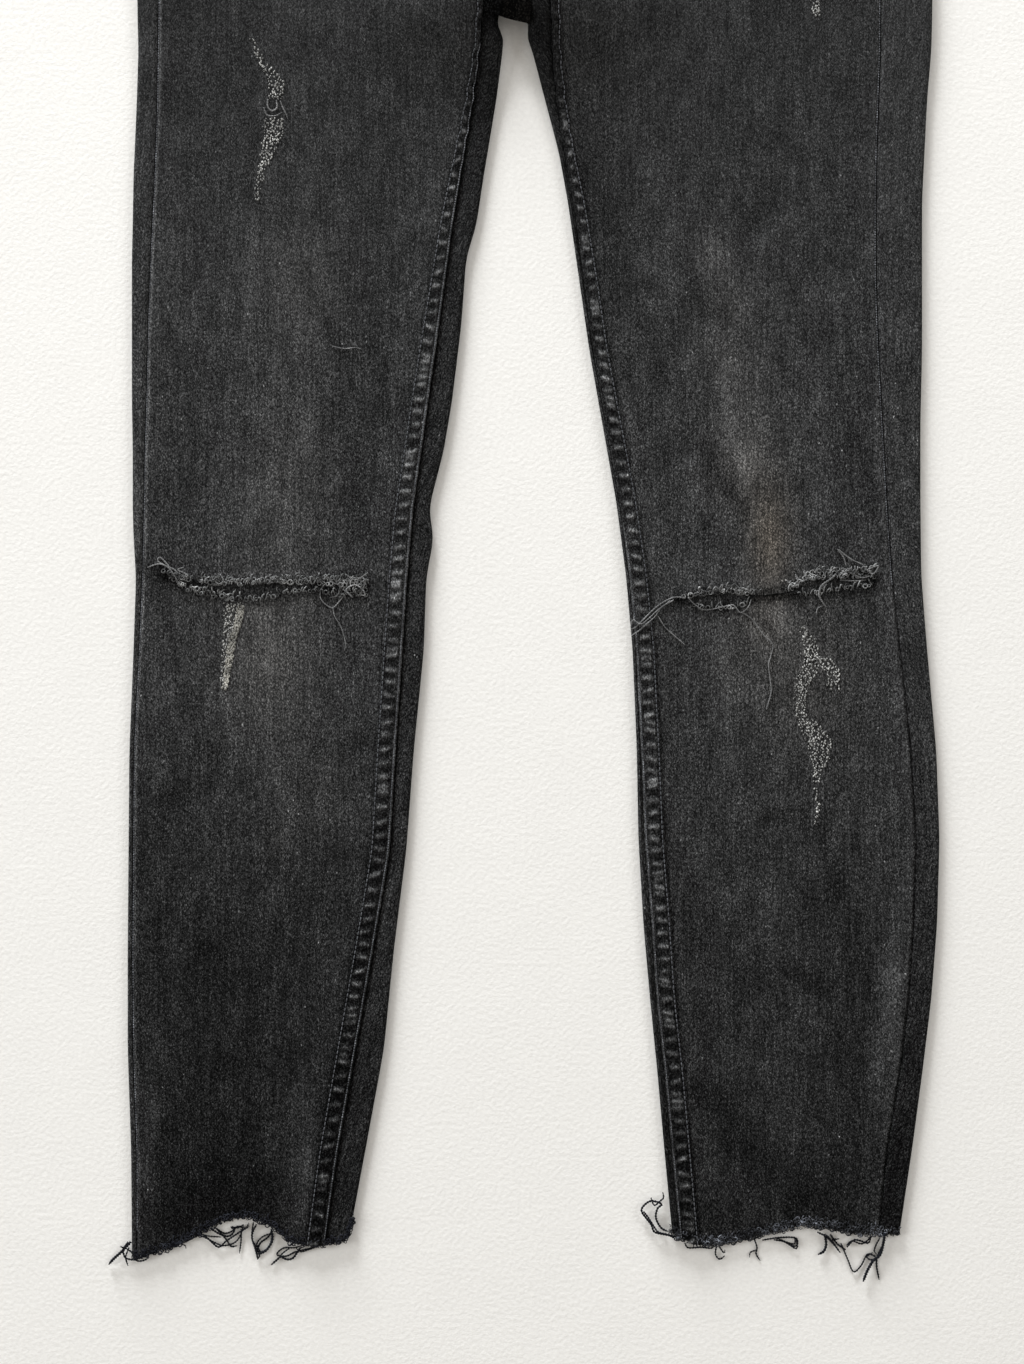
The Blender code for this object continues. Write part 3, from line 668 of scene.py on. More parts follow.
# How wide the inseam's band shows, by height, as a share of its width: it rolls under towards the crotch
BAND_SHOWN = {
    "right": ((-60, 1), (60, 0.85), (140, 0.62), (190, 0.42), (235, 0.25)),
    "left": ((-130, 1), (0, 0.85), (90, 0.72), (170, 0.5), (235, 0.42)),
}
FRONT_SINK = 1.2
SEAT_SINK = 0.4
SEAT_RUN = 40.0
SINK_REACH = 12.0
BAND_EASE = 6.0
LEAST_HEIGHT = 2.15
CROTCH_SPREAD = 95.0
FLY_FOOT = 321.5
SEAM_END = 10.0
SEAM_END_RUN = 4.0
FLY_LIFT = 1.5
FLY_WIDTH = 13.0
FLY_EDGE_RUN = 4.0
FLY_LAP_BELOW = 18.0
FLY_LAP_RUN = 10.0
RIP_BEND = 50.0
RIP_EASE = 18.0
KNEE_ROWS = np.array([0.0, 1.2, 2.4])
KNEE_CLEAR = (4.0, 4.8)
BORDER = 4.5
BORDER_TONE = -1.0
LIP_BACK = -0.6
RIP_END_RUN = 6.0
PRESSED_EDGE = 1.5
SEAM_SHADE = 2.4
BAND_SHADE = 0.7
BAND_SHADE_WIDTH = 0.9
CREASE_HALF = 0.46
RUMPLE_SIZE = 55.0
RUMPLE_RISE = 0.22

# The knee rips, by X: their upper and lower edges run together at both ends
RIP_HEADINGS = ("x", "upper", "lower")
RIPS = {
    "right": (
        (-224, -82.8, -83.2), (-215, -86.3, -86.9), (-206, -88.7, -91.1), (-197, -89.6, -92.9),
        (-188, -90.2, -94.7), (-178, -90.8, -97.1), (-170, -90.8, -98.6), (-159.5, -89.9, -97.4),
        (-151, -89, -94.1), (-140, -89.6, -93.2), (-128, -90.5, -92.9), (-113, -91.7, -93.2),
        (-100.5, -92.3, -92.7),
    ),
    "left": (
        (85.5, -99.5, -99.9), (94, -98, -99.5), (101, -96.9, -103.1), (112, -95.3, -103.3),
        (119, -95, -102.5), (125, -95.9, -101.6), (130, -96.5, -98.3), (134, -96.8, -97.3),
        (143, -96.1, -96.6), (154, -94.7, -95.3), (158, -92.3, -94.9), (162, -89.9, -94.7),
        (167, -88.1, -94.4), (179, -86.6, -92.6), (194, -86.6, -90.8), (200.5, -85.7, -89.9),
        (205.5, -87.5, -88),
    ),
}
LIP_RISE = {"upper": 0.8, "lower": 0.35}

# Creases and worn ridges: X and Y of both ends, half-width, rise (troughs below 0), stops lighter or darker.
# The troughs' darker tone is painted shade; the ridges' lighter tone is partly wear and partly painted
# light.
CREASES = {
    "right": (
        (-176, 6, -163, -14, 5.4, -0.65, -0.52), (-229, -223, -197, -215, 7.2, -0.65, -0.6),
        (-197, -215, -185, -185, 7.2, -0.52, -0.52), (-114, -187, -83, -185, 6, -0.65, -0.75),
        (-217, 170, -218, 62, 8.4, 0.45, 0.3), (-169, 132, -163, 62, 13.2, 0.39, 0.18),
        (-195, -298, -192, -340, 8.4, -0.39, -0.52), (-140, -220, -97, -257, 9.6, 0.52, 0.22),
        (-230, -100, -221, -196, 7.2, 0.39, 0.15), (-140, -340, -161, -400, 8.4, 0.52, 0.22),
        (-104, 2, -109, -64, 9.6, -0.52, -0.22), (-226, -330, -227, -445, 5, 0.52, 0.52),
    ),
    "left": (
        (59, 170, 88, 115, 4.8, 0.65, 0.42), (60, 110, 84, 82, 4.8, 0.65, 0.42),
        (90, 80, 133, 60, 6.6, -0.78, -0.52), (124, 109, 154, 166, 7.2, -0.78, -0.45),
        (132, 106, 159, 136, 4.8, 0.52, 0.38), (100, -2, 128, -53, 6.6, -0.91, -0.75),
        (125, 14, 131, -48, 5.4, 0.65, 0.45), (135, -235, 154, -228, 5.4, -0.78, -0.83),
        (154, -228, 180, -247, 6.6, -0.78, -0.68), (180, -247, 183, -298, 9.6, -0.52, -0.45),
        (153, -324, 180, -341, 4.8, -0.78, -0.6), (186, 22, 207, -58, 7.2, -0.65, -0.45),
        (141, -250, 145, -324, 6, 0.78, 0.52), (154, -352, 151, -430, 8.4, 0.52, 0.3),
        (222, -268, 208, -402, 6.6, 0.91, 0.83), (190, -280, 192, -424, 13.2, -0.52, -0.52),
        (93, -390, 129, -419, 7.8, -0.78, -0.83), (108, -118, 123, -169, 5.4, 0.52, 0.45),
        (88, -22, 100, -17, 4.2, 0.52, 0.52), (73, 43, 82, 25, 4.2, -0.52, -0.52),
        (160, -76, 187, -40, 8.4, 0.39, 0.15), (88, -136, 82, -196, 8.4, -0.39, -0.18),
        (131, -104, 152, -130, 2.6, -0.6, -1.2),
    ),
}

# Worn and dark areas: centre X and Y, half-width, half-height, stops lighter or darker, and warmth
AREAS = {
    "right": (
        (-140, 212, 26, 45, 0.3, 0), (-140, 92, 28, 45, 0.45, 0.1), (-146, -27, 26, 60, 0.42, 0.1),
        (-106, 30, 22, 100, -0.4, 0), (-108, -130, 22, 16, -0.25, 0), (-158, -200, 22, 55, 0.2, 0),
        (-177, -48, 18, 18, 0.3, 0), (-200, 32, 22, 40, -0.3, 0), (-212, -30, 16, 40, -0.5, 0),
        (-110, 36, 18, 35, -0.3, 0), (-104, -54, 18, 30, -0.3, 0), (-86, 50, 12, 70, -0.3, 0),
        (-160, -134, 30, 45, 0.88, 0.2), (-134, -213, 22, 30, 0.22, 0.1),
        (-155, -246, 8, 12, 0.38, 0.1), (-215, -216, 18, 18, -0.3, 0), (-110, -187, 16, 14, -0.3, 0),
        (-227, -84, 12, 25, -0.45, 0), (-194, -318, 16, 25, -0.3, 0), (-209, -378, 15, 20, 0.22, 0),
        (-143, -378, 14, 25, 0.22, 0), (-185, -462, 45, 22, -1.05, 0), (-149, -435, 16, 25, 0.45, 0),
        (-140, -445, 12, 50, 1.3, 0), (-190, -420, 10, 50, -0.35, 0), (-112, -90, 14, 9, -0.9, 0),
        (-190, -90, 16, 9, -0.4, 0), (-210, -172, 14, 26, -0.3, 0), (-122, -340, 9, 45, 0.5, 0),
        (-233, -440, 7.5, 70, 1.25, 0), (-131, -438, 8, 40, 0.45, 0),
    ),
    "left": (
        (28, 155, 12, 45, -0.52, 0), (52, 125, 11, 90, -0.2, 0), (78, 20, 12, 55, -0.3, 0),
        (196, -30, 14, 140, -0.3, 0), (185, -68, 16, 14, -0.35, 0), (220, 205, 12, 50, -0.2, 0),
        (43, 125, 12, 40, -0.45, 0), (107, 107, 14, 18, 0.6, 0.1), (118, 80, 15, 18, 0.6, 0.1),
        (118, 48, 17, 22, 0.6, 0.1), (124, 11, 20, 30, 0.65, 0.1), (100, -185, 10, 14, -0.3, 0),
        (190, -88, 16, 9, -0.5, 0), (213, -385, 7, 60, 0.45, 0), (127, -24, 18, 25, 0.52, 0.2),
        (97, 83, 8, 10, -0.45, 0), (142, -63, 13, 32, 1, 1), (139, -116, 14, 17, 1.35, 0.2),
        (117, -137, 12, 22, 0.45, 0.1), (125, -122, 8, 13, -0.5, 0), (160, -145, 30, 42, 0.45, 0.2),
        (172, -156, 6, 8, -0.5, 0), (180, -206, 6, 13, -0.45, 0), (175, -279, 18, 25, -0.3, 0),
        (97, -288, 12, 25, -0.3, 0), (127, -324, 14, 20, -0.3, 0), (133, -432, 12, 10, -0.75, 0),
        (166, -460, 18, 14, -0.9, 0), (133, -457, 12, 8, 0.3, 0), (108, -448, 12, 18, 0.4, 0),
        (145, -417, 10, 15, 0.38, 0),
    ),
}

# How far the wash has gone down the leg, by height, in stops from the ground
FADE = {
    "right": (
        (-470, -1.9), (-400, -1.65), (-330, -1.3), (-280, -0.92), (-200, -0.2), (-90, 0.1),
        (60, 0.1), (190, -0.3),
    ),
    "left": (
        (-480, -1.6), (-400, -0.82), (-300, -0.55), (-200, -0.1), (-90, 0.15), (0, 0), (100, -0.1),
        (260, -0.25),
    ),
}

# Along the side seam: how much paler its pressed edge is, how wide that reaches, and how wide the shade
# beside it is
SIDE_SEAM_MARKS = {"right": (1.6, 0.8, 0.7), "left": (0.7, 2.4, 1.2)}


def rip_edge(half, edge, out):
    """A rip's edge at some distances out, and how far open it is there."""
    rip = np.array(RIPS[half.name])
    places = half.sign * rip[:, 0]
    order = np.argsort(places)
    line = np.interp(out, places[order], rip[order, RIP_HEADINGS.index(edge)])
    beyond = np.maximum(places.min() - out, out - places.max())
    return line, beyond


def knee_of(half):
    """The height of the middle of a rip."""
    rip = np.array(RIPS[half.name])
    return float((rip[:, 1] + rip[:, 2]).mean() / 2.0)


def mouth_cut(height):
    """How far the scooped pocket mouth cuts in from the side seam."""
    below = np.clip((WAIST_SIDE - height) / MOUTH_DEPTH, 0.0, 1.0)
    return MOUTH_WIDTH * np.sqrt(1.0 - below**2)


def front_edges(half, height):
    outer = half.at(half.outseam, height) - SEAM_GAP - mouth_cut(height)
    return outer, half.at(half.inseam, height) + SEAM_GAP


def band_shown(half, y):
    """How far out from the fold edge the inseam's band shows."""
    return BAND_WIDTH * by_height(BAND_SHOWN[half.name], y)


def front_bend(half, out, level):
    """How the front's rows leave the level at the hem and the waist seam."""
    rise = (WAIST_SIDE - WAIST_FRONT) * np.clip((level - FORK) / (WAIST_SIDE - FORK), 0.0, 1.0)
    return half.hem_bend(out, level) - rise * (1.0 - np.clip(half.share_out(out, level), 0.0, 1.0) ** 2)


def rip_bend(half, out, level, edge):
    """How the front's rows bend round the rip, above its upper edge and below its lower one."""
    line, beyond = rip_edge(half, edge, out)
    knee = knee_of(half)
    return (line - knee) * fading(level - knee, RIP_BEND) * fading(np.maximum(beyond, 0.0), RIP_EASE)


def along_line(x, y, start_x, start_y, end_x, end_y, width):
    """How strongly a crease is felt at some places: full along it, fading over its width and at its ends."""
    run_x, run_y = end_x - start_x, end_y - start_y
    length = math.hypot(run_x, run_y)
    along = ((x - start_x) * run_x + (y - start_y) * run_y) / length
    across = ((x - start_x) * run_y - (y - start_y) * run_x) / length
    return bell(np.abs(along / length - 0.5), CREASE_HALF, 4) * bell(across, width)


def crease_marks(half, x, y):
    """The rise of the cloth by its creases, and its tone: painted shade in the troughs, and on the ridges
    wear and painted light.
    """
    rise, tone = np.zeros_like(x), np.zeros_like(x)
    for start_x, start_y, end_x, end_y, width, height, stops in CREASES[half.name]:
        felt = along_line(x, y, start_x, start_y, end_x, end_y, width)
        rise += height * felt
        tone += stops * felt
    return rise, tone


def area_marks(half, x, y):
    """The change of tone and the warmth of the worn and dark areas."""
    tone, warmth = np.zeros_like(x), np.zeros_like(x)
    for centre_x, centre_y, across, along, stops, warm in AREAS[half.name]:
        felt = np.exp(-(((x - centre_x) / across) ** 2) - ((y - centre_y) / along) ** 2)
        tone += stops * felt
        warmth += warm * felt
    return tone, warmth


def rumple(x, y):
    """The cloth's slight unevenness, about 0."""
    places = zip(x.ravel() / RUMPLE_SIZE, y.ravel() / (1.4 * RUMPLE_SIZE))
    heights = [noise.noise((across, along, SEED)) for across, along in places]
    return RUMPLE_RISE * np.reshape(heights, x.shape)


def front_height(half, out, y):
    """The height of the front's face: raised at its edges, sunk between them, creased and uneven."""
    outer, inner = front_edges(half, y)
    from_side, from_inseam = np.maximum(outer - out, 0.0), np.maximum(out - inner, 0.0)
    sink = np.interp(y, (FORK, FORK + SEAT_RUN), (FRONT_SINK, SEAT_SINK))
    sink = sink * (1.0 - bell(from_side, SINK_REACH))
    sink = sink * (1.0 - bell(np.maximum(from_inseam - BAND_WIDTH + 1.0, 0.0), SINK_REACH))
    inner_part = eased((from_inseam - BAND_WIDTH) / BAND_EASE)
    x = half.sign * out
    rise = inner_part * (crease_marks(half, x, y)[0] + rumple(x, y))
    height = half.at(half.depth, y) - sink + rise - seam_groove(from_side)
    height = height + crotch_loft(y) * (1.0 - eased(from_inseam / CROTCH_SPREAD))
    seam_shows = eased((y - FORK) / SEAM_END_RUN) * eased((FLY_FOOT - SEAM_END - y) / SEAM_END_RUN)
    height = height - seam_groove(from_inseam) * seam_shows
    if half is LEFT:
        lap = FLY_LIFT * eased((FLY_WIDTH - from_inseam) / FLY_EDGE_RUN)
        height = height + lap * eased((y - FLY_FOOT + FLY_LAP_BELOW) / FLY_LAP_RUN)
    for edge, above in (("upper", 1.0), ("lower", -1.0)):
        line, beyond = rip_edge(half, edge, out)
        distance = above * (y - line)
        lip = bell(distance, BORDER) * (distance > LIP_BACK)
        lip = lip * (1.0 - eased((beyond + RIP_END_RUN / 2.0) / RIP_END_RUN))
        height = height + LIP_RISE[edge] * lip
    return np.maximum(height, LEAST_HEIGHT)


def front_tone(half, out, y):
    """The front's tone in stops, and its warmth: wash, wear and creases, with painted shade by its seams."""
    x = half.sign * out
    outer, inner = front_edges(half, y)
    from_side, from_inseam = np.maximum(outer - out, 0.0), np.maximum(out - inner, 0.0)
    areas, warmth = area_marks(half, x, y)
    tone = by_height(FADE[half.name], y) + areas + crease_marks(half, x, y)[1]
    pale, spread, dark = SIDE_SEAM_MARKS[half.name]
    # The pressed edge is worn pale; the dark at the side seam and beside the band's edge is painted shade
    tone = tone + pale * bell(from_side - PRESSED_EDGE, spread) - SEAM_SHADE * bell(from_side, dark)
    tone = tone - BAND_SHADE * bell(from_inseam - band_shown(half, y), BAND_SHADE_WIDTH)
    for edge, above in (("upper", 1.0), ("lower", -1.0)):
        line, beyond = rip_edge(half, edge, out)
        distance = above * (y - line)
        border = bell(distance, BORDER, 4) * (1.0 - eased((beyond + 2.0) / RIP_END_RUN))
        tone = tone + BORDER_TONE * border
    return tone, np.clip(warmth, 0.0, 1.0)


def front_panel(half):
    shares = np.linspace(1.0, 0.0, FRONT_SPREAD + 2)[1:-1]
    weights = np.concatenate([np.ones_like(FROM_SIDE_SEAM), shares, np.zeros_like(FROM_INSEAM)])
    between = FROM_INSEAM[0] * (1.0 - shares) - FROM_SIDE_SEAM[-1] * shares
    offsets = np.concatenate([-FROM_SIDE_SEAM, between, FROM_INSEAM])
    knee = knee_of(half)
    below = np.append(np.arange(half.hem_level, knee - KNEE_CLEAR[0], STEP), knee - KNEE_ROWS[::-1])
    above = np.arange(knee + KNEE_CLEAR[1], WAIST_SIDE - STEP / 2.0, STEP)
    above = np.append(knee + KNEE_ROWS, above)
    above = np.append(above, WAIST_SIDE - SEAM_GAP)
    levels = np.concatenate([below, above])[:, None]
    upper = np.arange(len(levels))[:, None] >= len(below)
    y = levels + 0.0 * weights
    for _ in range(4):
        outer, inner = front_edges(half, y)
        out = inner + (outer - inner) * weights + offsets
        bent = np.where(upper, rip_bend(half, out, levels, "upper"), rip_bend(half, out, levels, "lower"))
        y = levels + bent + front_bend(half, out, levels)
    ids = np.arange(y.size).reshape(y.shape)
    shut = rip_edge(half, "upper", out[len(below)])[1] >= 0.0
    middle = (y[len(below) - 1] + y[len(below)]) / 2.0
    y[len(below) - 1, shut] = middle[shut]
    y[len(below), shut] = middle[shut]
    ids[len(below), shut] = ids[len(below) - 1, shut]
    cells = np.ones((len(levels) - 1, len(weights) - 1), bool)
    cells[len(below) - 1] = False
    height = front_height(half, out, y)
    face = half.placed(out, y, height)
    lining = face - np.array([0.0, 0.0, CLOTH])
    tone, warmth = front_tone(half, out, y)
    turned = half is LEFT
    name = "denim_front_" + half.name
    piece = cloth_piece(name, face, lining, face[:, :, 0], tone, warmth, ids=ids, cells=cells, turned=turned)
    sewn(piece, "front_" + half.name)


for half in HALVES:
    front_panel(half)

# ----------------------------------------------------------------------
# Felled inseams. The two panels' edges fold into each other and make a raised band of denim, 12 mm wide,
# down the leg. Sewing and washing have drawn it into short puckers, their tops worn pale and partly painted
# highlight, with painted shade between them.

BAND_STEP = 1.0
BAND_RISE = 0.9
BAND_SEAT = 0.05
# The band's section: how far each point is from the fold edge, and how high, as a share of its rise
BAND_ACROSS = np.array(
    [0.0, 0.25, 0.7, 1.2, 1.7, 2.4, 3.3, 4.6, 6.0, 7.4, 8.7, 9.6, 10.3, 10.8, 11.4, 11.8, 12.0]
)
BAND_SHAPE = np.array([0.45, 0.75, 0.95, 0.8, 0.85, 1, 1, 1, 1, 1, 1, 1, 0.85, 0.8, 0.95, 0.75, 0.4])
BAND_END_TAPER = 4.0
PUCKER_PITCH = 8.1
PUCKER_HALF = 1.65
PUCKER_RISE = (0.25, 0.7)
PUCKER_SKEW = 4.0
PUCKER_CENTRE = (5.2, 6.8)
PUCKER_REACH = (3.6, 4.7)
PUCKER_SIZE = (0.65, 1.0)
# Pale tops of the puckers, partly wear and partly painted highlight
PUCKER_WEAR_AND_HIGHLIGHT = 4.3
PUCKER_UNEVEN = (0.86, 1.14)
# Between which distances from the fold edge the puckers lie, and over how far they end
PUCKER_BETWEEN = (1.6, 10.4)
PUCKER_END_RUN = 1.6
# From which height the puckers are less worn, over how far, and by how much
PLAIN_FROM = 170.0
PLAIN_RUN = 50.0
PLAIN_LOSS = 0.6
PAIR_GAP = (2.8, 4.6)
PAIR_CHANCE = 0.12
# Painted shade over the whole band, between the puckers' tops
PUCKER_TROUGH_SHADE = -1.5


def pucker_marks(half, from_fold, y):
    """The puckers' rise and tone: painted shade between tops worn pale and partly painted highlight."""
    chance = np.random.default_rng(SEED + half.sign)
    rise, tone = np.zeros_like(y), np.full_like(y, PUCKER_TROUGH_SHADE)
    plain = 1.0 - PLAIN_LOSS * eased((y - PLAIN_FROM) / PLAIN_RUN)
    first, last = PUCKER_BETWEEN
    window = eased((from_fold - first) / PUCKER_END_RUN) * eased((last - from_fold) / PUCKER_END_RUN)
    place = half.hem_level - 4.0
    while place < FORK:
        centre = chance.uniform(*PUCKER_CENTRE)
        skew = chance.uniform(-PUCKER_SKEW, PUCKER_SKEW) / BAND_WIDTH
        places = [place]
        if chance.random() < PAIR_CHANCE:
            places.append(place + chance.uniform(*PAIR_GAP))
        for ridge in places:
            size = chance.uniform(*PUCKER_SIZE)
            reach = chance.uniform(*PUCKER_REACH)
            near = bell(y - ridge - skew * (from_fold - centre), PUCKER_HALF)
            felt = near * bell(from_fold - centre, reach, 4) * window
            rise += felt * (PUCKER_RISE[0] + (PUCKER_RISE[1] - PUCKER_RISE[0]) * size)
            tone += felt * PUCKER_WEAR_AND_HIGHLIGHT * size * plain
        place += PUCKER_PITCH * chance.uniform(*PUCKER_UNEVEN)
    return rise, tone


def band_height(half, from_fold, y):
    """The height of the band's face, so far in from its fold edge out of its full width."""
    inner = front_edges(half, y)[1]
    beside = np.clip(from_fold, 0.0, BAND_WIDTH) * band_shown(half, y) / BAND_WIDTH
    under = front_height(half, inner + beside, y)
    taper = eased((FORK - 0.5 - y) / BAND_END_TAPER + 0.2)
    shape = np.interp(from_fold, BAND_ACROSS, BAND_SHAPE)
    return under + BAND_SEAT + (BAND_RISE * shape + pucker_marks(half, from_fold, y)[0]) * taper


# How pale the fold edge and the outer edge are worn, and over what width
FOLD_PALE = 2.4
FOLD_PALE_WIDTH = 1.8
OUTER_PALE = 0.8
OUTER_PALE_AT = 11.6
OUTER_PALE_WIDTH = 0.5
DARK_CONTRAST = 0.25
# Up to which height the fold edge is worn pale, and how far and over what run it darkens there
PALE_TO = {"right": 232.0, "left": -70.0}
PALE_LOSS = 0.85
PALE_RUN = 20.0


def felled_inseam(half):
    levels = np.arange(half.hem_level, FORK - 1.0, BAND_STEP)[:, None]
    y = levels + 0.0 * BAND_ACROSS
    for _ in range(3):
        out = front_edges(half, y)[1] + BAND_ACROSS * band_shown(half, y) / BAND_WIDTH
        y = levels + half.hem_bend(out, levels)
    face = half.placed(out, y, band_height(half, BAND_ACROSS, y))
    lining = face.copy()
    lining[:, :, 2] = front_height(half, out, y) + BAND_SEAT
    tone = by_height(FADE[half.name], y)
    tone = tone + pucker_marks(half, BAND_ACROSS, y)[1] * (1.0 - DARK_CONTRAST * tone)
    pale = 1.0 - PALE_LOSS * eased((y - PALE_TO[half.name]) / PALE_RUN)
    tone = tone + FOLD_PALE * pale * bell(BAND_ACROSS, FOLD_PALE_WIDTH, 4)
    tone = tone + OUTER_PALE * bell(BAND_ACROSS - OUTER_PALE_AT, OUTER_PALE_WIDTH)
    name = "inseam_band_" + half.name
    piece = cloth_piece(name, face, lining, face[:, :, 0], tone, turned=half is RIGHT)
    length = float(run_length(face[None, :, 0])[0, -1]) * MM
    piece["cut"] = (BAND_WIDTH * MM, length, BAND_WIDTH * MM * length)
    sewn(piece, None)


for half in HALVES:
    felled_inseam(half)

# ----------------------------------------------------------------------
# Topstitching. Rows of worn polyester thread, about three millimetres to a stitch, hold the felled seams,
# the pocket mouths, the fly, the yokes, the patch pockets, the loops and the waistband.

STITCH_SIZES = {"Pitch": 2.9 * MM, "Length": 2.5 * MM, "Thickness": 0.75 * MM}


def geometry_graph(name, sizes):
    """A new geometry tree with named sizes as its inputs, and its group input."""
    tree = bpy.data.node_groups.new(name, "GeometryNodeTree")
    tree.interface.new_socket("Geometry", in_out="INPUT", socket_type="NodeSocketGeometry")
    for size, value in sizes.items():
        socket = tree.interface.new_socket(size, in_out="INPUT", socket_type="NodeSocketFloat")
        socket.default_value = value
    tree.interface.new_socket("Geometry", in_out="OUTPUT", socket_type="NodeSocketGeometry")
    graph = Graph(tree)
    return graph, graph.add("NodeGroupInput")


def grown(source, tree, sizes):
    """Runs a geometry tree on a mesh object and leaves the result on it as a plain mesh."""
    modifier = source.modifiers.new("grown", "NODES")
    modifier.node_group = tree
    for item in tree.interface.items_tree:
        if sizes and item.name in sizes:
            modifier[item.identifier] = sizes[item.name]
    bpy.context.view_layer.update()
    evaluated = source.evaluated_get(bpy.context.evaluated_depsgraph_get())
    mesh = bpy.data.meshes.new_from_object(evaluated)
    source.modifiers.remove(modifier)
    source.data = mesh


def grown_along(name, runs, tree, sizes):
    """What a geometry tree grows along runs of points, in millimetres, as a piece of its own."""
    points = np.concatenate(runs)
    ends = np.cumsum([len(run) for run in runs])
    edges = [(index - 1, index) for index in range(1, len(points)) if index not in ends]
    piece = new_piece(name, points, [], edges)
    grown(piece, tree, sizes)
    fixed(piece)


def scattered(graph, points, shape, turn, size, settings=None):
    """A shape set on points, turned and sized."""
    sockets = {"Points": points, "Instance": shape, "Rotation": turn, "Scale": size, **(settings or {})}
    return graph.add("GeometryNodeInstanceOnPoints", {}, sockets)


def spaced(graph, given):
    """The given edges as curves, with their points at the given pitch."""
    rows = graph.add("GeometryNodeMeshToCurve", {}, {"Mesh": given})
    sockets = {"Curve": rows, "Length": given.other("Pitch")}
    return graph.add("GeometryNodeResampleCurve", {"mode": "LENGTH"}, sockets)


def finished(graph, geometry, material):
    """Ends a geometry tree: instances made real, shaded smooth, with their material."""
    real = graph.add("GeometryNodeRealizeInstances", {}, {"Geometry": geometry})
    smooth = graph.add("GeometryNodeSetShadeSmooth", {}, {"Geometry": real})
    done = graph.add("GeometryNodeSetMaterial", {}, {"Geometry": smooth, "Material": material})
    graph.add("NodeGroupOutput", {}, {"Geometry": done})
    return graph.tree


def yarn_finish(name, colour, spread):
    """Spun yarn: its brightness changes from fibre to fibre, and its plies show as fine ridges."""
    material, graph = finish_named(name, roughness=0.85, specular=0.15)
    place = graph.add("ShaderNodeTexCoord", {}, {}, "Object")
    fibre = graph.noisy(place, 900.0, 1.0) - 0.5
    tuft = graph.noisy(place, 160.0, 1.0) - 0.5
    graph.feed("Base Color", graph.scaled(colour, 2.0 ** (fibre * spread * 3.0 + tuft * spread * 4.0)))
    graph.emboss(fibre, 0.15, 0.6)
    return material


def stitch_tree(thread):
    graph, given = geometry_graph("stitch_rows", STITCH_SIZES)
    tangent = graph.add("GeometryNodeInputTangent")
    heading = graph.add("FunctionNodeAlignRotationToVector", {"axis": "Z"}, {"Vector": tangent})
    stitch = graph.add("GeometryNodeMeshUVSphere", {}, {"Segments": 6, "Rings": 5, "Radius": 0.5})
    thickness = given.other("Thickness")
    size = graph.vector(thickness, thickness, given.other("Length"))
    return finished(graph, scattered(graph, spaced(graph, given), stitch, heading, size), thread)


STITCH_TREE = stitch_tree(yarn_finish("topstitch_thread", (0.085, 0.088, 0.095), 0.5))


def stitched(name, rows, sizes=None, tree=STITCH_TREE):
    """Rows of stitches along runs of points, in millimetres."""
    grown_along(name, rows, tree, sizes)


def band_row(half, from_fold, lift, top=FORK - 3.0):
    """A run along the inseam's band, so far in from its fold edge."""
    y = np.arange(half.hem_level + 1.0, top, 1.0)
    out = front_edges(half, y)[1] + from_fold * band_shown(half, y) / BAND_WIDTH
    place = y + half.hem_bend(out, y)
    return half.placed(out, place, band_height(half, from_fold, place) + lift)


ROPE_TREE = stitch_tree(yarn_finish("roped_fold_edge", (0.088, 0.091, 0.098), 1.3))
ROPE_SIZES = {"Pitch": 1.5 * MM, "Length": 1.45 * MM, "Thickness": 0.8 * MM}
ROPE_SUNK = -0.15
# How far in from the fold edge the band's rope and its row of stitches lie
ROPE_IN = 0.9
STITCHES_IN = 10.6
for half in HALVES:
    stitched("inseam_stitches_" + half.name, [band_row(half, STITCHES_IN, 0.1)])
    rope = band_row(half, ROPE_IN, ROPE_SUNK, PALE_TO[half.name])
    stitched("inseam_rope_" + half.name, [rope], ROPE_SIZES, ROPE_TREE)

# The pressed edge of the fronts' side seams is worn to short ticks of twill, from a height on each leg
TICK_SIZES = {"Pitch": 1.5 * MM, "Length": 1.3 * MM, "Thickness": 0.8 * MM}
TICKS_FROM = {"right": -490.0, "left": -90.0}
TICKS_IN = 0.75
for half in HALVES:
    y = np.arange(max(half.hem_level + 4.0, TICKS_FROM[half.name]), WAIST_SIDE - MOUTH_DEPTH, 1.0)
    out = front_edges(half, y)[0] - TICKS_IN
    edge = half.placed(out, y, front_height(half, out, y) + 0.02)
    stitched("outseam_ticks_" + half.name, [edge], TICK_SIZES, ROPE_TREE)

# ----------------------------------------------------------------------
# Crotch. The fold of the seat's denim that lies between the legs. The four panels are sewn together above
# it, and it lies in their shade, which is painted into its colour: near black at its foot, warm towards the
# middle.

CROTCH_X = (-30.6, -2.0)
CROTCH_Y = (250.7, 290.0)
CROTCH_SLANT = 8.0
CROTCH_LIFT = 0.35
CROTCH_SAG = 2.2
CROTCH_UNDER = 1.9
CROTCH_UNDER_FROM = 267.0
CROTCH_UNDER_RUN = 9.0
# The fold's painted shade by height, in stops: darkest at its foot between the legs
CROTCH_PAINTED_SHADE = ((246.0, -4.5), (258.0, -5.5), (268.0, -2.0), (274.0, -0.8))


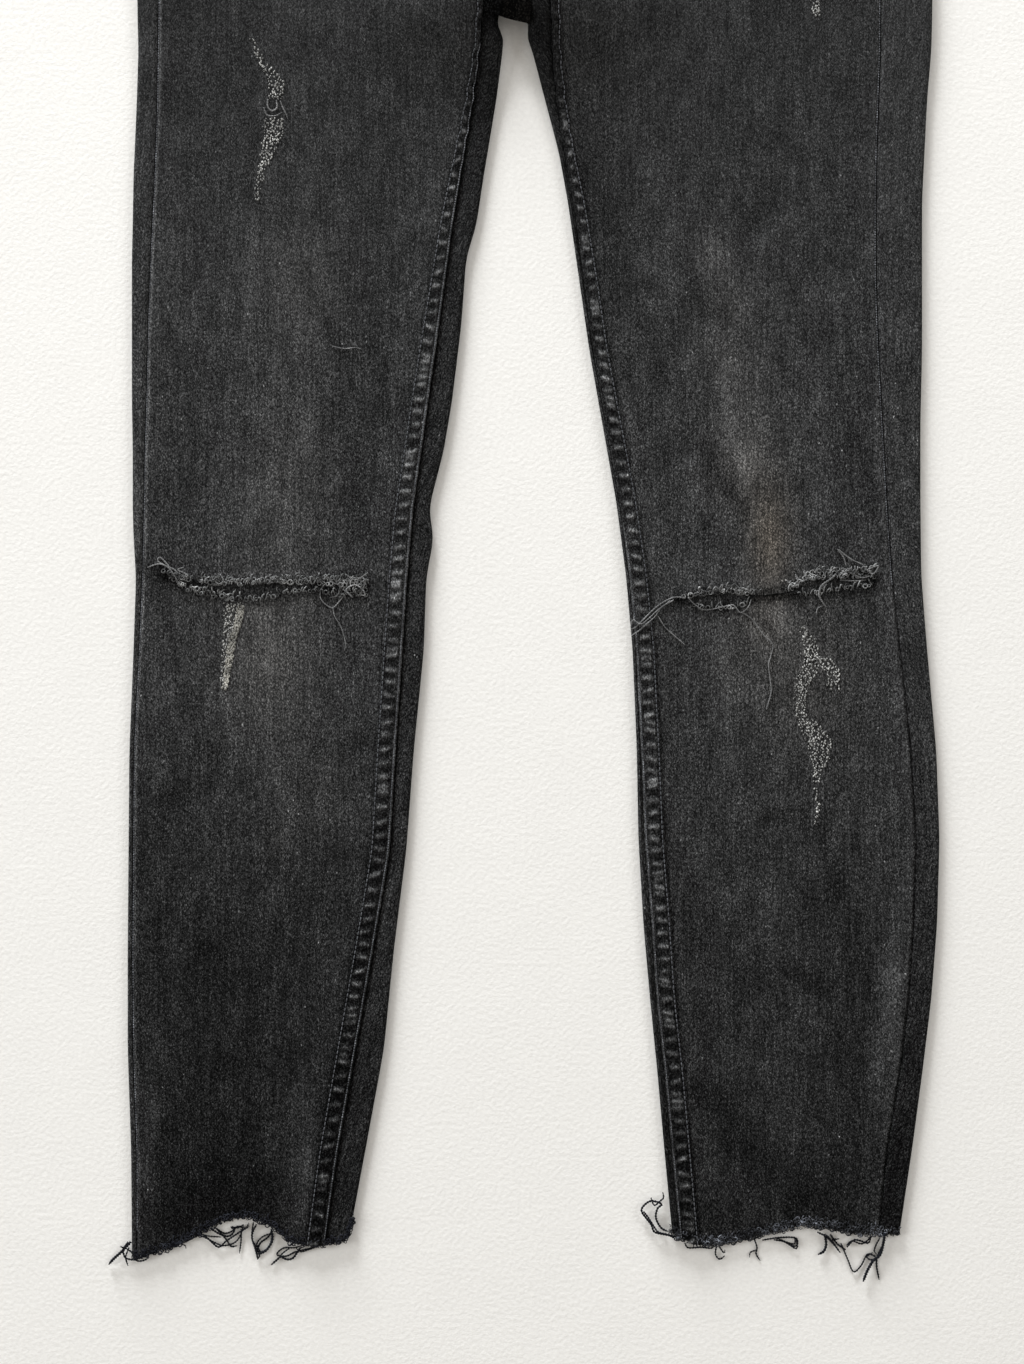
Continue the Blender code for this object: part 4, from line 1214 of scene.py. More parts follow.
def crotch_fold():
    share, up = np.meshgrid(np.linspace(0.0, 1.0, 16), np.linspace(0.0, 1.0, 18))
    x = CROTCH_X[0] + (CROTCH_X[1] - CROTCH_X[0]) * share
    foot = CROTCH_Y[0] - CROTCH_SLANT * share
    y = foot + (CROTCH_Y[1] - foot) * up
    sag = CROTCH_SAG * np.sin(math.pi * share) ** 2 * (1.0 - up) ** 2
    z = RIGHT.at(RIGHT.depth, y) + crotch_loft(y) + CROTCH_LIFT - sag
    z = z - CROTCH_UNDER * eased((y - CROTCH_UNDER_FROM) / CROTCH_UNDER_RUN)
    face = placed(x, y, z)
    lining = face - np.array([0.0, 0.0, 0.3])
    # Painted shade: the tone by height, and a warm tint over the part nearer the middle
    tone = by_height(CROTCH_PAINTED_SHADE, y)
    piece = cloth_piece("crotch_fold", face, lining, x, tone, 0.8 * eased((share - 0.35) / 0.1))
    sewn(piece, None)


crotch_fold()

# ----------------------------------------------------------------------
# Yokes. A shaped piece of the same denim between each back panel and the waistband, felled down onto the
# panel with two rows of stitches. It comes round the outer fold to the side seam, as the back does.

WAIST_BACK = WAIST_EDGES[:, :, 1].max() - BAND_HEIGHT
YOKE_ROWS = 14
CENTRE_LEAN = 0.04
CENTRE_AT_FORK = -13.0
SEAM_ROWS = (1.6, 7.6)
UNDER_STITCH = 0.25


def curved(centre, side, share):
    """A waist seam's height: level on the centre line and rising or falling to the fold."""
    return centre + (side - centre) * np.clip(share, 0.0, 1.0) ** 2


def yoke_bend(half):
    """How the yoke's rows bend, from its straight sloping seam to the curve of the waist."""

    def bend(out, level):
        share = np.clip(half.share_out(out, level), 0.0, 1.0)
        up = (level - YOKE_SEAM_SIDE) / (WAIST_SIDE - YOKE_SEAM_SIDE)
        waist = up * (curved(WAIST_BACK, WAIST_SIDE, share) - WAIST_SIDE)
        return waist - (1.0 - up) * YOKE_RISE * (1.0 - share)

    return bend


def off_floor(points):
    """Points with none of them under the least height of a stitch."""
    points[:, 2] = np.maximum(points[:, 2], UNDER_STITCH)
    return points


def yoke(half):
    levels = np.linspace(YOKE_SEAM_SIDE + 2.0 * SEAM_GAP, WAIST_SIDE - 2.0 * SEAM_GAP, YOKE_ROWS)
    face, lining, across = (grid[:, :UNDER_END] for grid in wrapped(half, levels, yoke_bend(half)))
    tone = back_tone(half, face)
    tone[0] += 0.6
    piece = cloth_piece("denim_yoke_" + half.name, face, lining, across, tone, turned=half is RIGHT)
    sewn(piece, "yoke_" + half.name)
    rows = []
    for above in SEAM_ROWS:
        grids = wrapped(half, [YOKE_SEAM_SIDE + above], yoke_bend(half))
        row, under = (grid[0, 1:UNDER_END] for grid in grids[:2])
        rows.append(off_floor(row + 0.1 * (row - under) / CLOTH))
    return rows


seat_rows = yoke(RIGHT) + yoke(LEFT)
seat_heights = np.arange(FORK + 6.0, WAIST_BACK - 2.0, 2.0)
for beside in SEAM_ROWS:
    seat_x = CENTRE_AT_FORK + CENTRE_LEAN * (seat_heights - FORK) + beside
    seat_rows.append(placed(seat_x, seat_heights, UNDER_STITCH))
stitched("seat_stitches", seat_rows)

# ----------------------------------------------------------------------
# Back pockets. Plain patch pockets of the same denim, pointed at the foot, with a turned hem at the top.
# Two rows of stitches hold them to the seat, which they lie under here.

PATCH_FROM = 0.215
PATCH_TO = 0.85
PATCH_MIDDLE = (PATCH_FROM + PATCH_TO) / 2.0
PATCH_POINT = 14.0
PATCH_SLANT = 21.0
PATCH_COUNT = (26, 34)
PATCH_DEPTH = 1.15
PATCH_HEM = 18.0
PATCH_ROLL = 0.35
PATCH_ROWS = (1.8, 7.4)
PATCH_PALE = 0.9
PATCH_PALE_WIDTH = 1.5


def patch_place(half, across, up):
    """X and Y of a place on a back pocket, across from its outer edge and up from its foot, both 0 to 1."""
    share = PATCH_FROM + (PATCH_TO - PATCH_FROM) * across
    foot = POCKET_FOOT + PATCH_POINT * np.abs(share - PATCH_MIDDLE) / (PATCH_TO - PATCH_MIDDLE)
    height = foot + (POCKET_TOP + PATCH_SLANT * (1.0 - share) - foot) * up
    outer = half.at(half.outer_fold, height) - half.at(half.depth, height) / 2.0
    out = outer + (half.at(half.inner_fold, height) - outer) * share
    return half.sign * out, height


def back_pocket(half):
    across, up = np.meshgrid(np.linspace(0.0, 1.0, PATCH_COUNT[0]), np.linspace(0.0, 1.0, PATCH_COUNT[1]))
    x, y = patch_place(half, across, up)
    width, length = np.ptp(x), np.ptp(y)
    edge = np.minimum(np.minimum(across, 1.0 - across) * width, np.minimum(up, 1.0 - up) * length)
    face = placed(x, y, 0.1 + PATCH_ROLL * bell(edge, 1.0))
    lining = placed(x, y, PATCH_DEPTH)
    tone = UNDER_TONE + PATCH_PALE * bell(edge, PATCH_PALE_WIDTH)
    piece = cloth_piece("denim_back_pocket_" + half.name, face, lining, x, tone, turned=half is RIGHT)
    sewn(piece, "back_pocket_" + half.name)
    rows = []
    for inset in PATCH_ROWS:
        side, foot = inset / width, inset / length
        down = np.linspace(1.0, foot, 60)
        beneath = np.linspace(side, 1.0 - side, 50)
        path_across = np.concatenate([0.0 * down + side, beneath, 0.0 * down + 1.0 - side])
        path_up = np.concatenate([down, 0.0 * beneath + foot, down[::-1]])
        rows.append(patch_place(half, path_across, path_up))
    beneath = np.linspace(0.02, 0.98, 50)
    rows.append(patch_place(half, beneath, 1.0 - PATCH_HEM / length))
    return [placed(x, y, UNDER_STITCH) for x, y in rows]


for half in HALVES:
    stitched("back_pocket_stitches_" + half.name, back_pocket(half))

# ----------------------------------------------------------------------
# Pocket facings. The denim that shows in each scooped pocket mouth, caught in the side seam and tucked
# under the front. It has been worn less, so it stays darker. Two rows of stitches edge the mouth.

FACING_LAP = 9.0
FACING_STEP = 2.5
FACING_COUNT = 26
FACING_DENIM = denim("pocket_facing_denim", 0.8 * DENIM_GROUND)
FACING_TONE = -0.3
FACING_PALE = 0.5
FACING_PALE_AT = 1.6
FACING_PALE_WIDTH = 0.8
MOUTH_ROWS = (1.6, 7.8)
MOUTH_BEND = 30.0


def facing_height(half, out, y):
    """The facing's face: under the front near the mouth, and up to the side seam where it shows."""
    outer = front_edges(half, y)[0]
    seam = half.at(half.outseam, y) - SEAM_GAP
    shown = np.clip((out - outer) / np.maximum(seam - outer, 1.0), 0.0, 1.0)
    tucked = front_height(half, np.minimum(out, outer), y) - CLOTH - SEAM_GAP
    risen = half.at(half.depth, y) - seam_groove(seam - out)
    return tucked + (risen - tucked) * eased(shown / 0.7) * eased((WAIST_SIDE + 8.0 - y) / 8.0)


def pocket_facing(half):
    levels = np.arange(WAIST_SIDE - MOUTH_DEPTH - FACING_LAP, WAIST_SIDE - FACING_STEP / 2.0, FACING_STEP)
    levels = np.append(levels, WAIST_SIDE - SEAM_GAP)[:, None]
    weights = np.linspace(0.0, 1.0, FACING_COUNT)
    y = levels + 0.0 * weights
    for _ in range(3):
        seam = half.at(half.outseam, y) - SEAM_GAP
        out = seam - (mouth_cut(y) + FACING_LAP) * weights
        y = levels + front_bend(half, out, levels)
    height = facing_height(half, out, y)
    face = half.placed(out, y, height)
    lining = face - np.array([0.0, 0.0, CLOTH])
    tone = FACING_TONE + FACING_PALE * bell(seam - out - FACING_PALE_AT, FACING_PALE_WIDTH)
    piece = cloth_piece("denim_facing_" + half.name, face, lining, face[:, :, 0], tone, turned=half is LEFT)
    sewn(piece, "pocket_facing_" + half.name, FACING_DENIM)


def mouth_stitches(half):
    rows = []
    for beyond in MOUTH_ROWS:
        turn = np.radians(np.linspace(1.0, 89.0, 80))
        y = WAIST_SIDE - (MOUTH_DEPTH + beyond) * np.sin(turn)
        out = half.at(half.outseam, y) - SEAM_GAP - (MOUTH_WIDTH + beyond) * np.cos(turn)
        y = y + front_bend(half, out, y) * eased((y - WAIST_SIDE + MOUTH_BEND) / MOUTH_BEND)
        rows.append(half.placed(out, y, front_height(half, out, y) + 0.1))
    return rows


for half in HALVES:
    pocket_facing(half)
    stitched("pocket_mouth_stitches_" + half.name, mouth_stitches(half))

# ----------------------------------------------------------------------
# Fly. The wearer's left front laps the right over the zip, held by the J of two rows of stitches, with a
# bar of dense stitches at its foot. The zip lies closed behind it on a woven tape.

FLY_ROWS = (33.0, 39.0)
FLY_TURN = 42.0
FLY_TURN_END = 82.0
# The fly's bars: how far in from its edge both ends are, and how far above its foot
FLY_BARS = ((2.0, 9.0, 3.0, 1.0), (24.0, 30.0, 22.0, 27.0))
BAR_SIZES = {"Pitch": 0.55 * MM, "Length": 1.5 * MM, "Thickness": 0.9 * MM}


def on_front(half, from_inseam, y):
    out = front_edges(half, y)[1] + from_inseam
    return half.placed(out, y, front_height(half, out, y) + 0.1)


def fly_row(wide):
    straight = np.arange(WAIST_FRONT + 3.0, FLY_FOOT + FLY_TURN, -1.5)
    turn = np.radians(np.linspace(0.0, FLY_TURN_END, 40))
    y = np.concatenate([straight, FLY_FOOT + FLY_TURN - (FLY_TURN + wide - FLY_ROWS[0]) * np.sin(turn)])
    return on_front(LEFT, np.concatenate([0.0 * straight + wide, wide * np.cos(turn)]), y)


fly_edge = np.arange(FORK + 4.0, WAIST_FRONT - 1.0, 1.5)
stitched("fly_stitches", [fly_row(wide) for wide in FLY_ROWS] + [on_front(LEFT, 1.8, fly_edge)])
fly_bars = []
for start_in, end_in, start_up, end_up in FLY_BARS:
    bar_heights = np.linspace(FLY_FOOT + start_up, FLY_FOOT + end_up, 9)
    fly_bars.append(on_front(LEFT, np.linspace(start_in, end_in, 9), bar_heights))
stitched("fly_bars", fly_bars, BAR_SIZES)


def woven_tape():
    """Black polyester tape in a fine herringbone."""
    material, graph = finish_named("zip_tape", roughness=0.8, specular=0.2)
    place = graph.add("ShaderNodeSeparateXYZ", {}, {0: graph.add("ShaderNodeTexCoord", {}, {}, "Object")})
    across = place / (0.6 * MM)
    along = place.other("Y") / (0.5 * MM) + across.math("PINGPONG", across, 6.0)
    rib = (along.fraction() * math.pi).sine()
    fleck = graph.speckled(graph.vector(across.floor(), along.floor()))
    bright = 0.008 + rib * 0.006 + fleck * 0.006
    graph.feed("Base Color", graph.add("ShaderNodeCombineColor", {}, {0: bright, 1: bright, 2: bright}))
    graph.emboss(rib, 0.1)
    return material


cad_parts["zip"].data.materials.clear()
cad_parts["zip"].data.materials.append(woven_tape())

# ----------------------------------------------------------------------
# Waistband. One folded strip of the same denim, 38 mm high, cut along the warp and stitched at both edges,
# from the underlap round the back to the overlap. The edge rows draw it into small slanting ropes.

BAND_RADIUS = 3.3
BAND_WALL = 2.2
BAND_EDGES = np.array([0.0, 0.3, 0.8, 1.4, 2.2, 3.0, 4.5, 7.5, 12.0, 19.0])
BAND_ROWS = np.concatenate([BAND_EDGES, BAND_HEIGHT - BAND_EDGES[-2::-1]])
BAND_STITCH = 2.2
BAND_SPACING = 2.0
BAND_SAG = 0.35
BAND_SAG_LENGTH = 40.0
UNDERLAP = 22.0
OVERLAP = 6.0
OVERLAP_RAISED = 24.0
OVERLAP_RAMP = 10.0
OVERLAP_RISE = 2.5
ROPE_PITCH = 5.5
ROPE_RISE = 0.16
ROPE_AT = 1.2
ROPE_WIDTH = 1.3
ROPE_SLANT = 1.2
ROPE_PALE = 2.2
GROOVE_DEPTH = 0.3
GROOVE_WIDTH = 0.7
EDGE_DROP = 0.8
EDGE_WIDTH = 0.6
WAISTBAND_TONE = -0.25
EDGE_PALE = 0.9
EDGE_PALE_WIDTH = 0.9
LOOP_WIDTH = 12.0
LOOP_BACK = 0.62
LOOP_LIFT = 1.7
LOOP_RAMP = 6.0


def band_fold(half, up):
    """How far out the waistband's fold bends from its centre line, at heights up the band."""
    heights = WAIST_SIDE + np.clip(up, 0.5, BAND_HEIGHT - 0.5)
    outs = [(crossings(WAIST_EDGES, 1, height)[:, 0] * half.sign).max() for height in heights]
    return np.array(outs) - BAND_RADIUS


def band_centre(up):
    return CENTRE_AT_FORK + CENTRE_LEAN * (WAIST_SIDE + up - FORK)


def band_place(half, across, up, back):
    """X and Y on the waistband: across is 0 on the centre line and 1 at the fold, up is in millimetres."""
    centre = band_centre(up)
    x = centre + (half.sign * band_fold(half, np.atleast_1d(up)) - centre) * across
    return x, curved(WAIST_BACK if back else WAIST_FRONT, WAIST_SIDE, np.abs(across)) + up


def loop_lift(distance):
    """How far the back of the waistband lies up over a belt loop, at distances from the loop's middle."""
    return LOOP_LIFT * eased((LOOP_WIDTH / 2.0 + LOOP_RAMP + 2.0 - np.abs(distance)) / LOOP_RAMP)


def band_relief(along, up):
    """The drop of the waistband's face at its edges and stitch rows, with the ropes between them."""
    edge = np.minimum(up, BAND_HEIGHT - up)
    rope = np.sin(2.0 * math.pi * (along + ROPE_SLANT * edge) / ROPE_PITCH)
    rope = rope * bell(edge - ROPE_AT, ROPE_WIDTH)
    groove = GROOVE_DEPTH * bell(edge - BAND_STITCH, GROOVE_WIDTH)
    return ROPE_RISE * rope - groove - EDGE_DROP * bell(edge, EDGE_WIDTH)


def band_columns():
    """The waistband's columns, from the underlap round to the overlap.

    Each is a half, its share of the way to the fold and whether it is at the back, or a half, "fold" and
    how far the fold has turned there.
    """
    columns = []
    for half, first, last in ((RIGHT, -UNDERLAP, 0.0), (LEFT, -OVERLAP, 1.0)):
        reach = band_fold(half, np.array([0.0]))[0] - half.sign * band_centre(0.0)
        front = [(half, share, False) for share in np.arange(first / reach, 1.0, BAND_SPACING / reach)]
        fold = [(half, "fold", turn) for turn in np.radians(np.linspace(90.0, -90.0, 9))]
        behind = [(half, share, True) for share in np.arange(1.0, 0.0, -BAND_SPACING / reach)[1:]]
        columns.append(front + fold + behind)
    return columns[0] + columns[1][::-1]


def waistband():
    columns = band_columns()
    face = np.zeros((len(BAND_ROWS), len(columns), 3))
    facing = np.zeros_like(face)
    for column, (half, where, third) in enumerate(columns):
        fold = isinstance(where, str)
        x, y = band_place(half, 1.0 if fold else where, BAND_ROWS, not fold and third)
        out, up = (math.cos(third), math.sin(third)) if fold else (0.0, -1.0 if third else 1.0)
        reach = np.abs(x - band_centre(BAND_ROWS))
        z = BAND_RADIUS + BAND_RADIUS * up
        if not fold and third:
            full = reach / max(where, 0.01)
            z = z + loop_lift(reach - LOOP_BACK * full) + loop_lift(reach)
        elif not fold and half is LEFT:
            beyond = OVERLAP_RAISED + OVERLAP_RAMP - reach * np.sign(where)
            z = z + OVERLAP_RISE * eased(beyond / OVERLAP_RAMP)
        x = x + (half.sign * BAND_RADIUS * out if fold else 0.0)
        face[:, column] = placed(x, y, z)
        facing[:, column, 0] = half.sign * out
        facing[:, column, 2] = up
    along = run_length(face)
    relief = band_relief(along, BAND_ROWS[:, None])[:, :, None]
    sag = np.array([noise.noise((place / BAND_SAG_LENGTH, 0.0, SEED)) for place in along[0]])[None, :, None]
    above = np.maximum(facing[:, :, 2:], 0.0)
    lining = face - (BAND_WALL + relief * 0.8) * facing
    face = face + (relief + BAND_SAG * sag * above) * facing
    lining = lining + BAND_SAG * sag * above * facing
    face[:, :, 2] = np.maximum(face[:, :, 2], 0.0)
    edge = np.minimum(BAND_ROWS, BAND_HEIGHT - BAND_ROWS)[:, None]
    tone = WAISTBAND_TONE + EDGE_PALE * bell(edge, EDGE_PALE_WIDTH)
    tone = tone + ROPE_PALE * np.maximum(relief[:, :, 0], 0.0)
    piece = cloth_piece("denim_waistband", face, lining, BAND_ROWS[:, None], tone, along=along, turned=True)
    sewn(piece, "waistband")
    rows = []
    for up in (BAND_STITCH, BAND_HEIGHT - BAND_STITCH):
        row = int(np.argmin(np.abs(BAND_ROWS - up)))
        rows.append(off_floor(face[row] + 0.15 * facing[row]))
    stitched("waistband_stitches", rows)
    return face


BAND_FACE = waistband()

# ----------------------------------------------------------------------
# Belt loops. Five folded strips of the same denim, 12 mm wide, with two rows of stitches each and a bar of
# dense stitches across both ends. Two lie on the front of the waistband and three under the back.

LOOP_ACROSS = np.array([-6.0, -5.7, -5.2, -4.4, -3.4, -1.7, 0.0, 1.7, 3.4, 4.4, 5.2, 5.7, 6.0])
LOOP_UP = np.linspace(0.3, BAND_HEIGHT, 30)
LOOP_WALL = 1.3
LOOP_BOW = 0.7
LOOP_FRONT = 0.47
LOOP_ROWS = (-4.0, 4.0)
LOOP_BARS = (2.2, 35.8)
LOOP_GROOVE = 0.35
LOOP_EDGE_DROP = 0.7
LOOP_TONE = 0.1
LOOP_PALE = 0.8
LOOP_PALE_AT = 5.8


def band_top(x):
    """The height of the waistband's front face over a place along it."""
    front = BAND_FACE[len(BAND_ROWS) // 2]
    above = front[:, 2] > BAND_RADIUS + 1.0
    order = np.argsort(front[above, 0])
    return np.interp(x, front[above, 0][order], front[above, 2][order])


def belt_loop(name, half, share, back):
    middle_x, middle_y = band_place(half, share, LOOP_UP, back)
    side = np.abs(LOOP_ACROSS)
    relief = -LOOP_GROOVE * bell(side - LOOP_ROWS[1], 0.6)
    relief = relief - LOOP_EDGE_DROP * bell(side - LOOP_WIDTH / 2.0, 0.5)
    bow = LOOP_BOW * np.sin(math.pi * LOOP_UP / BAND_HEIGHT)[:, None]
    x = middle_x[:, None] + LOOP_ACROSS
    y = middle_y[:, None]
    if back:
        face_z = 0.1 - relief
        lining_z = face_z + LOOP_WALL + relief
    else:
        face_z = band_top(middle_x)[:, None] + 0.3 + LOOP_WALL + bow + relief
        lining_z = face_z - LOOP_WALL - relief
    face, lining = placed(x, y, face_z), placed(x, y, lining_z)
    tone = LOOP_TONE + LOOP_PALE * bell(side - LOOP_PALE_AT, 0.6)
    piece = cloth_piece("denim_loop_" + name, face, lining, face[:, :, 0], tone, turned=back)
    sewn(piece, "belt_loop_" + name)
    rows, bars = [], []
    lift = -0.05 if back else 0.12
    for across in LOOP_ROWS:
        column = int(np.argmin(np.abs(LOOP_ACROSS - across)))
        rows.append(off_floor(face[:, column] + np.array([0.0, 0.0, lift])))
    for up in LOOP_BARS:
        row = int(np.argmin(np.abs(LOOP_UP - up)))
        bars.append(off_floor(face[row, 1:-1] + np.array([0.0, 0.0, lift + 0.1])))
    return rows, bars


LOOPS = (
    ("front_right", RIGHT, LOOP_FRONT, False),
    ("front_left", LEFT, LOOP_FRONT, False),
    ("back_right", RIGHT, LOOP_BACK, True),
    ("back_left", LEFT, LOOP_BACK, True),
    ("back_centre", LEFT, 0.0, True),
)
loop_rows, loop_bars = [], []
for name, half, share, back in LOOPS:
    rows, bars = belt_loop(name, half, share, back)
    loop_rows += rows
    loop_bars += bars
stitched("loop_stitches", loop_rows)
stitched("loop_bars", loop_bars, BAR_SIZES)

# ----------------------------------------------------------------------
# Shank button. A pressed brass tack button, dulled with age, in a keyhole buttonhole on the overlap.
# Its blank face has a rolled rim and a low dome.

BUTTON_SIDES = 64
# The button's turned section, from its shank out over the rim to the middle: radius and height
BUTTON_SECTION = (
    (2.6, 0.0), (2.6, 0.5), (7.4, 0.55), (8.2, 0.9), (8.5, 1.5), (8.3, 2.15), (7.7, 2.5),
    (7.0, 2.45), (6.5, 2.1), (6.1, 1.95), (5.5, 2.15), (4.4, 2.5), (3.0, 2.8), (1.5, 2.95),
    (0.6, 3.0),
)


def aged_metal():
    """Brass gone brown and dull, rubbed brighter in patches and finely scratched."""
    material, graph = finish_named("aged_metal", roughness=0.42, metallic=1.0)
    place = graph.add("ShaderNodeTexCoord", {}, {}, "Object")
    rubbed = graph.add("ShaderNodeMapRange", {}, {0: graph.noisy(place, 900.0, 4.0), 1: 0.3, 2: 0.75})
    metal = {0: rubbed, 6: (0.15, 0.13, 0.10, 1.0), 7: (0.34, 0.30, 0.24, 1.0)}
    graph.feed("Base Color", graph.add("ShaderNodeMix", {"data_type": "RGBA"}, metal, 2))
    graph.feed("Roughness", 0.55 - rubbed * 0.25)
    graph.emboss(graph.noisy(place, 1500.0, 2.0), 0.05, 0.3)
    return material


def tube_faces(rings, sides):
    """The faces of a closed tube of rings of points: its sides, then a cap at each end."""
    faces = []
    for start in range(0, (rings - 1) * sides, sides):
        for side in range(sides):
            one, two = start + side, start + (side + 1) % sides
            faces.append((one, two, two + sides, one + sides))
    faces.append(tuple(range(sides))[::-1])
    faces.append(tuple(range((rings - 1) * sides, rings * sides)))
    return faces


def shank_button():
    low, high = (np.array(corner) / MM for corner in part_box("button"))
    centre = (low + high) / 2.0
    turns = np.arange(BUTTON_SIDES) * 2.0 * math.pi / BUTTON_SIDES
    points = [
        (centre[0] + radius * math.cos(turn), centre[1] + radius * math.sin(turn), low[2] + height)
        for radius, height in BUTTON_SECTION
        for turn in turns
    ]
    piece = new_piece("shank_button", points, tube_faces(len(BUTTON_SECTION), BUTTON_SIDES))
    piece.data.materials.append(aged_metal())
    piece.data.shade_smooth()
    fixed(piece, "button")
    return centre


HOLE_SIZE = (9.5, 1.9)
HOLE_SHIFT = 2.0


def buttonhole(centre):
    """A long ring of dense stitches round the button's shank, shifted the way that the shank pulls."""
    turn = np.radians(np.arange(0.0, 361.0, 12.0))
    x = centre[0] + HOLE_SHIFT + HOLE_SIZE[0] * np.cos(turn)
    y = centre[1] + HOLE_SIZE[1] * np.sin(turn)
    stitched("buttonhole", [placed(x, y, band_top(x) + 0.2)], BAR_SIZES)


buttonhole(shank_button())

# ----------------------------------------------------------------------
# Frayed rips. Where the cloth is torn across, its warp ends stand out as a close row of short pale hooks,
# with curled ends among them. All are cotton, worn nearly white against the dyed face.

FRAY_SIZES = {"Pitch": 1.6 * MM, "Size": 1.15, "Thickness": 0.34 * MM, "Reach": 0.7 * MM, "Lift": 0.8 * MM}
# A hooked warp end from its foot in the cloth, in millimetres: two bends and its tip
HOOK_POINTS = ("Start", "Start Handle", "End Handle", "End")
HOOKS = (
    ((0.0, -0.6, -0.3), (0.2, 1.6, 1.1), (0.9, 2.3, 0.7), (1.5, 1.4, 0.0)),
    ((0.0, -0.6, -0.3), (-0.5, 1.2, 0.9), (-0.2, 2.6, 0.9), (0.6, 3.2, 0.2)),
    ((0.0, -0.8, -0.3), (0.5, 0.8, 1.2), (-0.7, 1.7, 1.0), (-1.2, 0.7, 0.1)),
)
# A curled warp end: its turns, its first and its last radius, and its height
CURLS = ((0.9, 1.4, 1.1, 0.7), (1.3, 1.3, 0.9, 1.0), (1.0, 1.1, 1.3, 0.5))
CURL_STEPS = 8


def by_chance(graph, kind, least, most, seed):
    """A chance number or vector for each point, from the least to the most."""
    first, output = {"FLOAT_VECTOR": (0, 0), "FLOAT": (2, 1), "INT": (4, 2)}[kind]
    sockets = {first: least, first + 1: most, "Seed": seed}
    return graph.add("FunctionNodeRandomValue", {"data_type": kind}, sockets, output)


def yarn_end_shapes(graph, thickness):
    """One instance of each shape of yarn end: hooks and curls, a few millimetres long."""
    ring = graph.add("GeometryNodeCurvePrimitiveCircle", {}, {"Resolution": 4, "Radius": thickness})
    shapes = []
    for hook in HOOKS:
        sizes = {name: tuple(MM * length for length in point) for name, point in zip(HOOK_POINTS, hook)}
        sizes["Resolution"] = CURL_STEPS
        shapes.append(graph.add("GeometryNodeCurvePrimitiveBezierSegment", {}, sizes))
    for turns, first, last, height in CURLS:
        sizes = {"Resolution": CURL_STEPS, "Rotations": turns, "Start Radius": first * MM}
        sizes.update({"End Radius": last * MM, "Height": height * MM})
        shapes.append(graph.add("GeometryNodeCurveSpiral", {}, sizes))
    tubes = []
    for shape in shapes:
        sockets = {"Curve": shape, "Profile Curve": ring, "Fill Caps": True}
        tubes.append(graph.add("GeometryNodeCurveToMesh", {}, sockets))
    return graph.add("GeometryNodeGeometryToInstance", {}, {"Geometry": tubes})


def fray_tree(yarn, seed):
    """Hooked and curled yarn ends along edges, each pointing along the warp, give or take."""
    graph, given = geometry_graph("frayed_edge", FRAY_SIZES)
    curves = spaced(graph, given)
    loose = graph.add("GeometryNodeCurveToPoints", {"mode": "EVALUATED"}, {"Curve": curves})
    reach, lift = given.other("Reach"), given.other("Lift")
    shift = by_chance(graph, "FLOAT_VECTOR", (-1.0, -1.0, -0.4), (1.0, 1.0, 1.0), seed)
    room = graph.vector(reach, reach, lift)
    shift = graph.add("ShaderNodeVectorMath", {"operation": "MULTIPLY"}, {0: shift, 1: room})
    moved = graph.add("GeometryNodeSetPosition", {}, {"Geometry": loose, "Offset": shift})
    turn = by_chance(graph, "FLOAT_VECTOR", (-0.3, -0.4, -0.65), (0.3, 0.4, 0.65), seed + 1)
    size = by_chance(graph, "FLOAT", 0.6, 1.15, seed + 2) * given.other("Size")
    pick = by_chance(graph, "INT", 0, len(HOOKS) + len(CURLS) - 1, seed + 3)
    shapes = yarn_end_shapes(graph, given.other("Thickness"))
    one_each = {"Pick Instance": True, "Instance Index": pick}
    return finished(graph, scattered(graph, moved, shapes, turn, size, one_each), yarn)


PALE_FRAY = fray_tree(yarn_finish("frayed_yarn_pale", (0.125, 0.126, 0.125), 1.6), SEED)

# The frayed rows: which edge of the rip, how far from the opening, and from which X to which
RIP_FRAYS = {
    "right": (
        ("upper", 1.2, -222, -101), ("upper", 3, -214, -100), ("lower", 1.2, -217, -101),
        ("lower", 2.8, -208, -180), ("upper", 4.8, -126, -101), ("lower", 3.2, -122, -101),
    ),
    "left": (
        ("upper", 1.1, 90, 134), ("upper", 2.9, 99, 131), ("lower", 0.9, 97, 128),
        ("upper", 1.2, 152, 205), ("upper", 3, 154, 205), ("upper", 5, 165, 204),
        ("lower", 0.9, 160, 203),
    ),
}


def rip_run(half, edge, away, first, last):
    """Points along a rip's edge, so far away from the opening."""
    x = np.linspace(first, last, 60)
    y = rip_edge(half, edge, half.sign * x)[0] + away * (1.0 if edge == "upper" else -1.0)
    return placed(x, y, front_height(half, half.sign * x, y) + 0.25)


for half in HALVES:
    runs = [rip_run(half, *row) for row in RIP_FRAYS[half.name]]
    grown_along("rip_edge_" + half.name, runs, PALE_FRAY, None)

YARN_SPACING = 0.8
PLY_PITCH = 3.2
PLY_SIDES = 5
# Each ply's distance from the yarn's middle and its own thickness, as shares of the yarn's half-thickness
PLY_OUT = 0.45
PLY_THICK = 0.6
YARN_ENDS = (0.8, 0.45)
